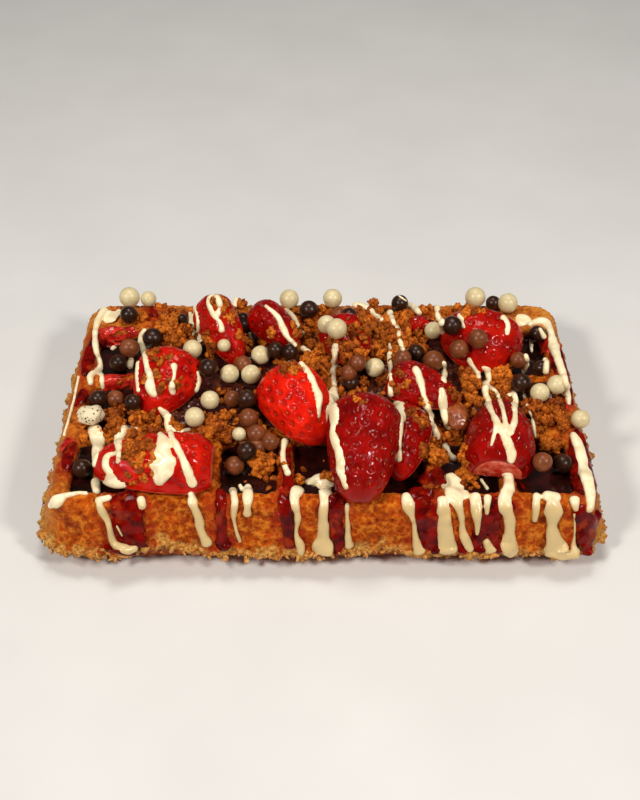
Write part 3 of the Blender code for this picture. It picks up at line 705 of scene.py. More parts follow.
def drizzle_material():
    look = Look("white_drizzle", 0.28, Specular_IOR_Level=0.3, Coat_Weight=0.3, Coat_Roughness=0.12)
    pale = look.mix(look.patches(3.0, 0.36, 0.66, 3.0), (0.83, 0.66, 0.38), (0.96, 0.85, 0.58))
    look.two_tone(look.painted("hanging"), pale, (0.64, 0.46, 0.21))
    look.bump(look.grain(1.8, 2.0), 0.12)
    return look.material


def pearl_material(name, dark, light, roughness, shine):
    look = Look(name, roughness, Specular_IOR_Level=shine, Coat_Weight=0.1, Coat_Roughness=0.2)
    look.two_tone(look.patches(3.6, 0.36, 0.66), dark, light)
    look.bump(look.grain(1.3, 4.0), 0.12)
    return look.material


def nut_material():
    look = Look("glazed_nut", 0.3, Coat_Weight=0.5, Coat_Roughness=0.12)
    look.two_tone(look.patches(1.4, 0.38, 0.62), (0.15, 0.026, 0.005), (0.36, 0.080, 0.012))
    look.bump(look.grain(1.4, 3.0), 0.3)
    return look.material


def speckled_material():
    look = Look("speckled_white", 0.4)
    speck = look.span(look.cells(1.5), 0.20, 0.28)
    look.two_tone(speck, (0.10, 0.04, 0.02), (0.74, 0.62, 0.40))
    look.bump(look.grain(1.2), 0.2)
    return look.material


# Camera rays and what they meet

def photo_ray(u, v):
    """From the camera through a pixel of the photo."""
    aim = Vector((u - PHOTO_WIDTH / 2, PHOTO_HEIGHT / 2 - v, -FOCAL_PIXELS))
    aim.rotate(Euler((CAMERA_TILT, 0.0, 0.0)))
    return CAMERA_PLACE, aim.normalized()


class Carriers:
    """Everything made so far that something else can lie on."""

    def __init__(self):
        self.points = []
        self.faces = []
        self.owners = []
        self.count = 0
        self.tree = None

    def add(self, item):
        mesh = item.data
        mesh.calc_loop_triangles()
        points = read_points(mesh)
        corners = np.empty(len(mesh.loop_triangles) * 3, dtype=np.int64)
        mesh.loop_triangles.foreach_get("vertices", corners)
        self.points.append(points)
        self.faces.append(corners.reshape(-1, 3) + self.count)
        self.owners += [item.name] * len(mesh.loop_triangles)
        self.count += len(points)
        self.tree = None

    def ready(self):
        if self.tree is None:
            points = np.concatenate(self.points).tolist()
            faces = np.concatenate(self.faces).tolist()
            self.tree = BVHTree.FromPolygons(points, faces, all_triangles=True)
        return self.tree

    def seen(self, u, v):
        """What the photo's pixel shows, or nothing where the ray misses."""
        place, aim = photo_ray(u, v)
        return self.ready().ray_cast(place, aim)

    def below(self, x, y):
        return self.ready().ray_cast(Vector((x, y, LOOKED_FROM)), Vector((0.0, 0.0, -1.0)))

    def rest_height(self, x, y, radius):
        """Height of the middle of a ball that is lowered until it touches."""
        tree = self.ready()
        height = LOWERED_FROM
        search = radius + 6.0
        while height > radius:
            hit = tree.find_nearest(Vector((x, y, height)), search)
            distance = hit[3] if hit[0] is not None else search
            if distance <= radius:
                break
            height -= max(0.05, (distance - radius) * 0.6)
        return height

    def rest_where_seen(self, u, v, radius):
        """Middle of a ball that rests on what is below it and shows at a pixel of the photo."""
        place, aim = photo_ray(u, v)
        height = THICKNESS + radius
        for _ in range(6):
            spot = place + aim * ((height - place.z) / aim.z)
            height = (height + self.rest_height(spot.x, spot.y, radius)) / 2
        return spot.x, spot.y, self.rest_height(spot.x, spot.y, radius)


# Waffle

def rounded_rectangle(half_x, half_y, corner, corner_steps, long_steps=1, short_steps=1):
    """Points and outward directions round a rounded rectangle, anticlockwise from the right side."""
    points = []
    centres = [
        (half_x - corner, half_y - corner, 0.0),
        (-half_x + corner, half_y - corner, 90.0),
        (-half_x + corner, -half_y + corner, 180.0),
        (half_x - corner, -half_y + corner, 270.0),
    ]
    for index, (cx, cy, start) in enumerate(centres):
        for step in range(corner_steps + 1):
            angle = math.radians(start + 90.0 * step / corner_steps)
            outward = Vector((math.cos(angle), math.sin(angle)))
            points.append((Vector((cx, cy)) + outward * corner, outward))
        next_x, next_y, next_start = centres[(index + 1) % 4]
        side = math.radians(next_start)
        side_outward = Vector((math.cos(side), math.sin(side)))
        first = points[-1][0]
        last = Vector((next_x, next_y)) + side_outward * corner
        steps = long_steps if index % 2 == 0 else short_steps
        for step in range(1, steps):
            points.append((first.lerp(last, step / steps), side_outward))
    return points


def offset_loop(outline, offset, height):
    loop = []
    for point, outward in outline:
        moved = point + outward * offset
        loop.append((moved.x, moved.y, height))
    return loop


def stack(loops):
    """Corner points and faces of a stack of equal loops, closed at both ends."""
    count = len(loops[0])
    points = [point for loop in loops for point in loop]
    faces = []
    for level in range(len(loops) - 1):
        for index in range(count):
            following = (index + 1) % count
            low = level * count
            high = low + count
            faces.append([low + index, low + following, high + following, high + index])
    faces.append(list(range(count))[::-1])
    faces.append([(len(loops) - 1) * count + index for index in range(count)])
    return points, faces


def ragged_reach(point):
    """How far the torn seam stands out at a point of the outline."""
    wave = rough_in_plan(point, 0.16, 2, 2)
    tear = rough_in_plan(point, 0.7, 5, 3)
    reach = 0.5 + 0.9 * wave + 0.7 * tear
    return FLASH_REACH * max(-0.5, min(1.0, reach))


def seam_lift(point):
    """How far the torn seam rises at a point of the outline."""
    lift = 1.1 * rough_in_plan(point, 0.22, 7, 3)
    if point.y < 0:
        for x, half, rise in SEAM_BITES:
            lift += rise * math.exp(-((point.x - x) / half) ** 2)
    return lift


def seam_loop(outline, reach, raggedness, height, rise):
    """A loop near the seam, which follows its torn edge outwards and its waves upwards."""
    loop = []
    for point, outward in outline:
        moved = point + outward * (reach + ragged_reach(point) * raggedness)
        loop.append((moved.x, moved.y, height + seam_lift(point) * rise))
    return loop


def plate_outline():
    return rounded_rectangle(TOP_LENGTH / 2, TOP_WIDTH / 2, TOP_CORNER, 16, 210, 120)


def make_plate():
    outline = plate_outline()
    loops = [
        offset_loop(outline, -UNDER_DRAFT, 0.0),
        offset_loop(outline, 1.8 - UNDER_DRAFT, 1.2),
        seam_loop(outline, SEAM_REACH - 1.2, 0.0, SEAM_HEIGHT - 1.3, 0.9),
        seam_loop(outline, SEAM_REACH, 0.9, SEAM_HEIGHT - 0.5, 1.0),
        seam_loop(outline, SEAM_REACH, 1.0, SEAM_HEIGHT + 0.5, 1.0),
        seam_loop(outline, SEAM_REACH - 0.8, 0.0, SEAM_HEIGHT + 1.9, 0.8),
        offset_loop(outline, 0.0, THICKNESS - EDGE_ROUND),
        offset_loop(outline, -EDGE_ROUND * 0.35, THICKNESS - EDGE_ROUND * 0.3),
        offset_loop(outline, -EDGE_ROUND, THICKNESS),
    ]
    plate = Parts()
    plate.add(*stack(loops))
    return plate.build("waffle_body", [])


def pocket_centre(column, row):
    x = (column - (COLUMNS - 1) / 2) * COLUMN_PITCH
    y = -TOP_WIDTH / 2 + FRONT_RIM + (ROW_PITCH - RIB) / 2 + row * ROW_PITCH
    return x, y


def pocket_profile():
    """Depth below the rim and outward offset of a pocket's wall, from its floor up."""
    return [
        (POCKET_DEPTH, -POCKET_DRAFT - FOOT_ROUND * 0.7),
        (POCKET_DEPTH - FOOT_ROUND, -POCKET_DRAFT),
        (MOUTH_ROUND, 0.0),
        (MOUTH_ROUND * 0.3, MOUTH_ROUND * 0.4),
        (0.0, MOUTH_ROUND),
        (-1.0, MOUTH_ROUND),
    ]


def pocket_loops(column, row, profile, from_top):
    half_x = (COLUMN_PITCH - RIB) / 2
    half_y = (ROW_PITCH - RIB) / 2
    outline = rounded_rectangle(half_x, half_y, POCKET_CORNER, 5)
    centre_x, centre_y = pocket_centre(column, row)
    loops = []
    for depth, offset in profile:
        height = THICKNESS - depth if from_top else depth
        loop = offset_loop(outline, offset, height)
        loops.append([(x + centre_x, y + centre_y, z) for x, y, z in loop])
    return loops


def bedded(column, row):
    for (first, last), (low, high), _ in CRUMB_BEDS:
        if first <= column <= last and low <= row <= high:
            return True
    return False


def make_pocket_cutter():
    underside = [
        (POCKET_DEPTH, -UNDER_INSET - POCKET_DRAFT),
        (MOUTH_ROUND, -UNDER_INSET),
        (0.0, -UNDER_INSET + MOUTH_ROUND / 2),
        (-1.0, -UNDER_INSET + MOUTH_ROUND / 2),
    ]
    cutter = Parts()
    for column in range(COLUMNS):
        for row in range(ROWS):
            if not bedded(column, row):
                cutter.add(*stack(pocket_loops(column, row, pocket_profile(), True)))
            cutter.add(*stack(pocket_loops(column, row, underside, False)[::-1]))
    return cutter.build("pocket_cutter", [])


def outside_distance(points):
    """How far points lie outside the top's outline, below 0 inside."""
    beyond_x = np.abs(points[:, 0]) - (TOP_LENGTH / 2 - TOP_CORNER)
    beyond_y = np.abs(points[:, 1]) - (TOP_WIDTH / 2 - TOP_CORNER)
    corner = np.hypot(np.maximum(beyond_x, 0.0), np.maximum(beyond_y, 0.0))
    inner = np.minimum(np.maximum(beyond_x, beyond_y), 0.0)
    return corner + inner - TOP_CORNER


def cut_plate():
    """The plate with both faces' pockets, as one even skin."""
    crust = make_plate()
    cutter = make_pocket_cutter()
    cut = crust.modifiers.new("pockets", "BOOLEAN")
    cut.operation = "DIFFERENCE"
    cut.solver = "EXACT"
    cut.object = cutter
    apply_modifiers(crust)
    bpy.data.objects.remove(cutter, do_unlink=True)
    remesh(crust, CRUST_VOXEL, 1)
    return crust


def golden_share(points, pale):
    """How light each point is baked: most at the back corners, the ends and the back."""
    across = np.abs(points[:, 0])
    corners = smooth_step(58.0, 92.0, across) * smooth_step(18.0, 50.0, points[:, 1])
    sides = 0.25 * smooth_step(77.0, 84.0, across) * smooth_step(24.0, 26.5, points[:, 2])
    flanks = smooth_step(84.0, 91.0, across)
    back = 0.65 * smooth_step(44.0, 53.0, points[:, 1])
    return np.maximum.reduce([corners, sides, flanks, back]) * (1.0 + 0.9 * pale)


def sauce_and_shade_share(points, outside, pale):
    """How far the pockets' walls below the rim are darkened: partly sauce taken up by the crust, partly
    painted shade that deepens into the pocket.
    """
    inside = smooth_step(-5.0, -6.5, outside) * (1.0 - smooth_step(23.4, 25.6, points[:, 2]))
    inside *= smooth_step(12.0, 14.0, points[:, 2])
    return inside * (0.9 + pale)


def make_crust(material):
    """The baked plate with a rough skin and a torn seam."""
    crust = cut_plate()
    mesh = crust.data
    points = read_points(mesh)
    normals = read_vectors(mesh, "normal")
    outside = outside_distance(points)
    lifts = np.array([seam_lift(Vector((point[0], point[1]))) for point in points])
    above = points[:, 2] - lifts
    relief = np.empty(len(points))
    pale = np.empty(len(points))
    for index, point in enumerate(points):
        relief[index] = 0.55 * rough(point, 0.30, 1, 3) + 0.45 * rough(point, 0.75, 4, 2)
        pale[index] = rough(point, 0.28, 9, 3)
    seam = smooth_step(2.6, 4.2, outside + pale) * smooth_step(4.6, 6.0, above)
    seam *= 1.0 - smooth_step(9.8, 11.8, above - 2.4 * pale)
    relief += seam * relief * 1.8
    under = 1.0 - smooth_step(0.3, 1.5, points[:, 2])
    relief *= 1.0 - under
    write_points(mesh, points + normals * relief[:, None])
    write_attribute(mesh, "torn", np.clip(seam * (0.9 + 0.6 * pale), 0.0, 1.0))
    write_attribute(mesh, "golden", np.clip(golden_share(points, pale), 0.0, 1.0))
    write_attribute(mesh, "sauce_and_shade", np.clip(sauce_and_shade_share(points, outside, pale), 0.0, 1.0))
    mesh.materials.clear()
    mesh.materials.append(material)
    crust.name = "waffle_crust"
    return finish_piece(crust, ["waffle"])


def make_flakes(material):
    """Pale torn flakes along the seam."""
    draw = random.Random(8)
    flakes = Parts()
    for point, outward in plate_outline():
        for _ in range(2):
            if draw.random() < 0.78 + 0.6 * rough_in_plan(point, 0.3, 14, 2):
                continue
            reach = SEAM_REACH + ragged_reach(point) + draw.uniform(-1.1, 0.0)
            reach = min(reach, SEAM_REACH + FLASH_REACH)
            along = Vector((-outward.y, outward.x)) * draw.uniform(-0.5, 0.5)
            middle = point + outward * reach + along
            height = SEAM_HEIGHT + seam_lift(point) + draw.uniform(-1.5, 1.3)
            size = 0.4 + 1.0 * draw.random() ** 1.8
            if abs(outward.x) > 0.7:
                size *= 0.6
            points, faces = GRAIN if size > 0.8 else CHIP
            bumpy = knobbly(points, 0.7, 1.25, draw)
            shape = tumbled(bumpy, random_turn(draw), (1.35, 0.8, 0.45)) * size
            flakes.add(shape + np.array((middle.x, middle.y, height)), faces)
    return flakes.piece("seam_flakes", material)


# Crumbs

def bed_height(x, y):
    """Height of the crumb bed at a point, or the plain rim height outside every bed."""
    height = THICKNESS
    for (first, last), (low, high), rise in CRUMB_BEDS:
        left, front = pocket_centre(first, low)
        right, back = pocket_centre(last, high)
        inside_x = min(x - left, right - x) + COLUMN_PITCH / 2
        inside_y = min(y - front, back - y) + ROW_PITCH / 2
        inside = min(inside_x, inside_y)
        if inside > 0:
            bump = noise.noise(Vector((x * 0.17, y * 0.17, 3.0)))
            swell = min(1.0, inside / 6.0)
            height = THICKNESS + swell * (rise + 1.8 * bump)
    return height


def make_beds(material):
    """The packed crumbs, steeped in sauce, under the loose ones; dark in their low spots as sauce and as
    painted shade between the loose crumbs.
    """
    beds = Parts()
    sauce_and_shade = []
    for (first, last), (low, high), _ in CRUMB_BEDS:
        left, front = pocket_centre(first, low)
        right, back = pocket_centre(last, high)
        left += RIB / 2 - COLUMN_PITCH / 2
        right += COLUMN_PITCH / 2 - RIB / 2
        front += RIB / 2 - ROW_PITCH / 2
        back += ROW_PITCH / 2 - RIB / 2
        columns = round((right - left) / BED_SPACING)
        rows = round((back - front) / BED_SPACING)
        points = []
        for row in range(rows + 1):
            for column in range(columns + 1):
                x = left + (right - left) * column / columns
                y = front + (back - front) * row / rows
                edge = min(x - left, right - x, y - front, back - y)
                place = (x, y, 0.0)
                lumps = 1.3 * rough(place, 0.30, 3, 3) + 0.6 * rough(place, 0.9, 6, 2)
                height = bed_height(x, y) - 0.5 + lumps * min(1.0, edge / 3.0)
                if edge <= 0.0:
                    height = THICKNESS - 1.2
                points.append((x, y, height))
                # Low spots of the bed are darkest: sauce and painted shade
                sauce_and_shade.append(float(smooth_step(0.45, -0.25, lumps)))
        faces = []
        width = columns + 1
        for row in range(rows):
            for column in range(columns):
                corner = row * width + column
                faces.append([corner, corner + 1, corner + width + 1, corner + width])
        beds.add(points, faces)
    item = beds.build("crumb_bed", [material])
    write_attribute(item.data, "sauce_and_shade", sauce_and_shade)
    return finish_piece(item)


def add_cluster(parts, middle, size, draw):
    """A knobbly biscuit crumb: a craggy core with grains stuck all over it."""
    points, faces = CORE
    seed = draw.uniform(0, 90)
    tint = draw.uniform(0.1, 1.0)
    radius = size * 0.40
    turn = np.array(random_turn(draw)).T
    swell = swells(points * 1.3, 0.6, 1.0, seed, 3)
    squash = np.array((1.0, draw.uniform(0.75, 1.0), draw.uniform(0.7, 0.95)))
    core = (points * swell * radius * squash) @ turn
    parts.add(core + middle, faces, tint=tint)
    for _ in range(int(6 + size * 1.6)):
        aim = np.array([draw.gauss(0, 1) for _ in range(3)])
        aim /= np.linalg.norm(aim)
        grain = size * draw.uniform(0.09, 0.19)
        grain_points, grain_faces = GRAIN if grain > 0.95 else CHIP
        spot = (aim * radius * squash * draw.uniform(0.85, 1.08)) @ turn
        bumpy = knobbly(grain_points, 0.7, 1.3, draw)
        stretch = np.array([draw.uniform(0.65, 1.3) for _ in range(3)])
        shape = (bumpy * grain * stretch) @ turn
        parts.add(shape + spot + middle, grain_faces, tint=min(1.0, tint + draw.uniform(-0.3, 0.3)))


def make_large_crumbs(material, carriers):
    draw = random.Random(21)
    parts = Parts()
    for x, y, size in CRUMBS:
        middle = np.array((x, y, bed_height(x, y) + size * 0.12))
        add_cluster(parts, middle, size, draw)
    for u, v, size in PLACED_CRUMBS:
        hit, normal, _, _ = carriers.seen(u, v)
        if hit is None:
            continue
        middle = np.array(hit + normal * size * 0.22)
        add_cluster(parts, middle, size, draw)
    return parts.piece("large_crumbs", material)


def make_small_crumbs(material, carriers):
    draw = random.Random(33)
    parts = Parts()
    for x, y, reach_x, reach_y, count in CRUMB_PATCHES:
        for _ in range(count):
            place_x = x + draw.gauss(0, 0.5) * reach_x
            place_y = y + draw.gauss(0, 0.5) * reach_y
            hit, normal, face, _ = carriers.below(place_x, place_y)
            if hit is None or outside_distance(np.array([[place_x, place_y, 0.0]]))[0] > -2.0:
                continue
            if normal.z < 0.3:
                continue
            size = 0.45 + 1.15 * draw.random() ** 2
            points, faces = GRAIN if size > 0.8 else CHIP
            owner = carriers.owners[face]
            if "pearl" in owner or "nut" in owner:
                continue
            if "strawberry" in owner:
                size *= 0.6
            turn = random_turn(draw)
            stretch = (1.25, draw.uniform(0.7, 1.0), draw.uniform(0.6, 0.9))
            shape = tumbled(knobbly(points, 0.7, 1.25, draw), turn, stretch) * size
            middle = np.array(hit + normal * size * 0.35)
            parts.add(shape + middle, faces, tint=draw.random())
    return parts.piece("small_crumbs", material)


def make_nut(material, carriers):
    """A ridged, glazed nut among the crumbs, narrower at one end."""
    nut = Parts()
    points, faces = BALL
    hit = carriers.seen(*NUT_PIXEL)[0]
    swell = swells(points, 0.10, 1.4, 3, 3)
    ridges = 1.0 + 0.03 * np.sin(np.arctan2(points[:, 2], points[:, 1]) * 9.0)
    shape = points * (swell * ridges[:, None])
    shape[:, 1] *= 1.0 - 0.22 * points[:, 0]
    shape *= np.array(NUT_SIZE) / 2.0
    turn = np.array(Matrix.Rotation(NUT_YAW, 3, "Z")).T
    nut.add(shape @ turn + np.array(hit) + np.array((0.0, 0.0, NUT_SIZE[2] * 0.42)), faces)
    return nut.piece("glazed_nuts", material)


# Strawberries

def berry_radius(share, sharpness):
    """Radius from the shoulder to the tip as a share of the half width."""
    shoulder = min(1.0, (share + 0.10) / 0.30)
    rise = math.sin(shoulder * math.pi / 2) ** 0.6
    taper = math.cos(max(0.0, share - 0.25) / 0.75 * math.pi / 2) ** sharpness
    return rise * taper


def berry_point(share, angle, length, width, height, sharpness):
    radius = berry_radius(share, sharpness)
    along = (share - 0.5) * length
    across = math.cos(angle) * radius * width / 2
    rise = max(0.0, math.sin(angle)) ** 0.9 * radius * height
    return Vector((along, across, rise))


def berry_seeds(length, width, height, draw):
    """Places of the seeds as share and angle, in staggered rows."""
    seeds = []
    rows = max(3, round(length / SEED_SPACING))
    for row in range(rows):
        share = (row + 0.45) / rows * 0.94
        girth = math.pi * (width / 2 + height) / 2 * berry_radius(share, 0.5)
        count = max(2, round(girth / SEED_SPACING))
        for step in range(count):
            angle = math.pi * (step + (0.25 if row % 2 else 0.75)) / count
            if 0.10 < angle < math.pi - 0.10:
                jitter = draw.uniform(-0.07, 0.07)
                seeds.append((share + draw.uniform(-0.012, 0.012), angle + jitter))
    return seeds


def berry_skin(size, seeds, seed, draw):
    """Points of the skin with a ringed dimple round every seed, and how deep in one each lies."""
    grid = []
    for station in range(BERRY_STATIONS + 1):
        share = BERRY_END * math.sin(station / BERRY_STATIONS * math.pi / 2)
        for step in range(BERRY_STEPS + 1):
            grid.append(berry_point(share, math.pi * step / BERRY_STEPS, *size))
    skin = np.array([point[:] for point in grid])
    outward = skin * (0.0, 1.0, 1.0)
    outward /= np.maximum(np.linalg.norm(outward, axis=1), 1e-6)[:, None]
    dimple = np.zeros(len(skin))
    ridge = np.zeros(len(skin))
    for share, angle in seeds:
        middle = np.array(berry_point(share, angle, *size)[:])
        distance = np.linalg.norm(skin - middle, axis=1)
        reach = draw.uniform(1.25, 1.75)
        dimple = np.maximum(dimple, 1.0 - smooth_step(0.45 * reach, reach, distance))
        ridge = np.maximum(ridge, np.exp(-((distance - reach - 0.1) / 0.34) ** 2))
    swell = np.array([0.35 * rough(point, 0.16, seed, 2) for point in skin])
    edge = np.clip(skin[:, 2] / 1.5, 0.0, 1.0)
    return skin + outward * ((swell - 0.40 * dimple + 0.22 * ridge) * edge)[:, None], dimple


def berry_faces():
    """Faces of the skin, the cut face, the stem end and the tip, with a material slot for each."""
    faces = []
    slots = []
    line = BERRY_STEPS + 1
    starts = [station * line for station in range(BERRY_STATIONS + 1)]
    for start in starts[:-1]:
        for step in range(BERRY_STEPS):
            corner = start + step
            faces.append([corner, corner + line, corner + line + 1, corner + 1])
            slots.append(1 if step in (0, BERRY_STEPS - 1) else 0)
    faces.append(starts[::-1] + [start + BERRY_STEPS for start in starts])
    faces.append(list(range(line)))
    faces.append([starts[-1] + step for step in range(line)][::-1])
    slots += [1, 1, 0]
    return faces, slots


def add_seed(berry, share, angle, size, rotate, move, draw):
    """A seed that lies in its dimple and points along the strawberry."""
    points, faces = GRAIN
    middle = berry_point(share, angle, *size)
    ahead = berry_point(min(share + 0.02, BERRY_END), angle, *size) - middle
    beside = berry_point(share, angle + 0.05, *size) - middle
    normal = beside.cross(ahead).normalized()
    if normal.dot(Vector((0.0, middle.y, middle.z))) < 0:
        normal.negate()
    ahead.normalize()
    basis = Matrix((ahead, normal.cross(ahead), normal)).to_3x3()
    shape = points * np.array((0.50, 0.28, 0.20)) @ np.array(basis)
    spot = np.array((middle - normal * 0.30)[:])
    berry.add((shape + spot) @ rotate + move, faces, 2, draw.random())


def make_strawberry(spec, materials):
    """Half a strawberry on its cut face: dimpled skin, seeds, cut face and cut stem end."""
    name_end, x, y, length, width, height, yaw, pitch, roll, sharpness, ripeness = spec
    name = f"strawberry_{name_end}"
    draw = random.Random(len(name) * 7 + int(x * 3 + y))
    size = (length, width, height, sharpness)
    seeds = berry_seeds(length, width, height, draw)
    skin, dimple = berry_skin(size, seeds, len(name), draw)
    tip = np.clip((skin[:, 0] / length + 0.5 - 0.75) / 0.25, 0.0, 1.0)
    turn = Euler([math.radians(angle) for angle in (roll, pitch, yaw)]).to_matrix()
    rotate = np.array(turn).T
    placed = skin @ rotate
    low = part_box(name)[0].z / MM
    move = np.array((x, y, low - placed[:, 2].min()))
    berry = Parts()
    faces, slots = berry_faces()
    berry.add(placed + move, faces, tint=ripeness)
    berry.slots = slots
    for share, angle in seeds:
        add_seed(berry, share, angle, size, rotate, move, draw)
    item = berry.build(f"cut_{name}", materials)
    without = np.zeros(len(item.data.vertices) - len(skin))
    # The dimple share also darkens the skin there as painted shade
    write_attribute(item.data, "dimple", np.concatenate([dimple, without]))
    write_attribute(item.data, "tip", np.concatenate([tip, without]))
    return finish_piece(item, [name])


# Pearls

def add_pearl(parts, middle, diameter, seed):
    points, faces = BALL
    shape = points * swells(points, 0.018, 1.1, seed, 2) * diameter / 2
    parts.add(shape + np.array(middle), faces)


def make_pearls(kind, material, sunk, loose, carriers):
    parts = Parts()
    names = sorted(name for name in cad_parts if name.startswith(f"{kind}_pearl"))
    for seed, name in enumerate(names):
        low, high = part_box(name)
        middle = (low + high) / 2 / MM
        add_pearl(parts, middle, (high.z - low.z) / MM, seed)
    for seed, (x, y, diameter) in enumerate(sunk):
        height = bed_height(x, y) + diameter * 0.2
        add_pearl(parts, (x, y, height), diameter, seed + 40)
    for seed, (u, v, diameter) in enumerate(loose):
        middle = carriers.rest_where_seen(u, v, diameter / 2)
        add_pearl(parts, middle, diameter, seed + 60)
    return parts.piece(f"{kind}_pearls", material, names)


# Sauce

def make_pools(material):
    """Sauce standing in the open pockets, drawn up a little where it meets the walls."""
    pools = Parts()
    names = []
    slope = POCKET_DRAFT / (POCKET_DEPTH - FOOT_ROUND - MOUTH_ROUND)
    wall = -slope * (SAUCE_BELOW_RIM - MOUTH_ROUND) + 0.35
    for column in range(COLUMNS):
        for row in range(ROWS):
            if row > 0 and bedded(column, row):
                continue
            names.append(f"chocolate_sauce_{row + 1}_{column + 1}")
            profile = [(POCKET_DEPTH - 0.3, -POCKET_DRAFT - FOOT_ROUND), (SAUCE_BELOW_RIM - 0.9, wall)]
            for inward in (0.25, 0.6, 1.1, 1.8, 2.6):
                rise = 0.9 * math.exp(-inward / 0.7)
                profile.append((SAUCE_BELOW_RIM - rise, wall - inward))
            loops = pocket_loops(column, row, profile, True)
            centre_x, centre_y = pocket_centre(column, row)
            middle = Vector((centre_x, centre_y, THICKNESS - SAUCE_BELOW_RIM))
            for share in (0.2, 0.4, 0.6, 0.8, 0.95):
                loops.append([Vector(point).lerp(middle, share)[:] for point in loops[6]])
            shaped = []
            for loop in loops:
                ring = []
                for x, y, z in loop:
                    wave = 0.14 * rough((x, y, 0.0), 0.16, 12, 2)
                    ring.append((x, y, z + wave if z > 20 else z))
                shaped.append(ring)
            pools.add(*stack(shaped))
    return pools.piece("sauce_pools", material, names)


def curve_through(controls, step):
    """Values along a smooth curve through the control values, a step apart."""
    rows = [np.array(control, dtype=float) for control in controls]
    rows = [rows[0] * 2 - rows[1]] + rows + [rows[-1] * 2 - rows[-2]]
    values = []
    for index in range(1, len(rows) - 2):
        before, first, last, after = rows[index - 1:index + 3]
        length = np.linalg.norm((last - first)[:2])
        count = max(1, round(length / step))
        for part in range(count):
            t = part / count
            values.append(0.5 * (2 * first + (last - before) * t
                                 + (2 * before - 5 * first + 4 * last - after) * t * t
                                 + (3 * first - before - 3 * last + after) * t ** 3))
    values.append(rows[-2])
    return values


def drape(pixels, carriers):
    """A path over whatever the photo's pixels show, hanging straight down between its hits."""
    hits = []
    for u, v, width in curve_through(pixels, 1.5):
        hit, normal, _, _ = carriers.seen(u, v)
        if hit is not None:
            hits.append((hit, normal, width))
    if len(hits) < 2:
        return [], [], []
    front = -TOP_WIDTH / 2 + 0.6
    path, normals, widths = [], [], []
    for (first, first_normal, width), (last, _, last_width) in zip(hits, hits[1:]):
        leap = (last - first).length
        count = max(1, round(leap / 0.8))
        for part in range(count):
            share = part / count
            spot = first.lerp(last, share)
            normal = first_normal
            if leap > 2.6 and part and spot.y > front:
                under, under_normal, _, _ = carriers.below(spot.x, spot.y)
                if under is not None and under.z < spot.z + 1.0:
                    spot, normal = under, under_normal
            path.append(spot.copy())
            normals.append(normal.copy())
            widths.append(width + (last_width - width) * share)
    for _ in range(10):
        for index in range(1, len(path) - 1):
            bridge = (path[index - 1].z + path[index + 1].z) / 2 - 0.05
            path[index].z = max(path[index].z, bridge)
    for _ in range(3):
        path = soften(path)
    for _ in range(8):
        normals = soften(normals)
    return path, [normal.normalized() for normal in normals], widths


def soften(vectors):
    softened = vectors[:]
    for index in range(1, len(vectors) - 1):
        softened[index] = (vectors[index - 1] + vectors[index] * 2 + vectors[index + 1]) / 4
    return softened


def strand_rings(path, widths):
    """Place, index and scale of every ring of a strand, with round ends."""
    last = len(path) - 1
    first_along = (path[1] - path[0]).normalized()
    last_along = (path[-1] - path[-2]).normalized()
    rings = []
    reach = min(widths[0] / 2, LONGEST_CAP)
    for share in (0.95, 0.7, 0.35):
        rings.append((path[0] - first_along * reach * share, 0, math.sqrt(1 - share * share)))
    for index, point in enumerate(path):
        rings.append((point, index, 1.0))
    reach = min(widths[-1] / 2, LONGEST_CAP)
    for share in (0.35, 0.7, 0.95):
        rings.append((path[-1] + last_along * reach * share, last, math.sqrt(1 - share * share)))
    return rings


def add_strand(parts, path, normals, widths, thickness, seed, unevenness):
    """A round-ended strand, flat where it is wide, lying on its path."""
    if len(path) < 2:
        return
    sides = 12
    loops = []
    for point, index, scale in strand_rings(path, widths):
        along = path[min(index + 1, len(path) - 1)] - path[max(index - 1, 0)]
        along = along.normalized() if along.length > 1e-4 else (path[1] - path[0]).normalized()
        normal = normals[index]
        across = along.cross(normal)
        if across.length < 1e-3:
            across = along.cross(Vector((0.3, 0.2, 1.0)))
        across.normalize()
        lift = across.cross(along).normalized()
        if lift.dot(normal) < 0:
            lift.negate()
        half = widths[index] / 2 * (1.0 + unevenness * rough(point, 0.24, seed, 2)) * scale
        flat = half / max(scale, 1e-3)
        tall = min(thickness * (1.0 + 0.12 * flat), flat * 0.85 + 0.15) * scale
        base = point + lift * tall * 0.35
        ring = []
        for step in range(sides):
            angle = math.tau * step / sides
            ring.append((base + across * math.cos(angle) * half + lift * math.sin(angle) * tall)[:])
        loops.append(ring)
    parts.add(*stack(loops))


def add_puddle(parts, u, v, across, deep, carriers, seed):
    hit, normal, _, _ = carriers.seen(u, v)
    if hit is None:
        return
    points, faces = CORE
    swell = swells(points * (1, 1, 0), 0.5, 0.8, seed, 2)
    shape = points * swell * np.array((across / 2, deep / 2, 0.8))
    lean = Vector((0.0, 0.0, 1.0)).rotation_difference(normal).to_matrix()
    parts.add(shape @ np.array(lean).T + np.array(hit), faces)


def pour(name, parts, voxel, material):
    """Fuse strands and drops into one liquid skin."""
    item = parts.build(name, [])
    remesh(item, voxel, 3)
    thin = item.modifiers.new("thin", "DECIMATE")
    thin.ratio = KEPT_TRIANGLES
    apply_modifiers(item)
    item.data.materials.clear()
    item.data.materials.append(material)
    return finish_piece(item)


def lay_strands(strands, thickness, carriers, unevenness=0.28):
    parts = Parts()
    for seed, pixels in enumerate(strands):
        path, normals, widths = drape(pixels, carriers)
        add_strand(parts, path, normals, widths, thickness, seed, unevenness)
    return parts


def make_red_sauce(material, carriers):
    strands = lay_strands(RED_STRANDS, RED_THICKNESS, carriers)
    return pour("red_sauce", strands, RED_VOXEL, material)


def make_smears(material, carriers):
    smears = lay_strands(RED_SMEARS, SMEAR_THICKNESS, carriers, 0.7)
    return pour("red_smears", smears, SMEAR_VOXEL, material)


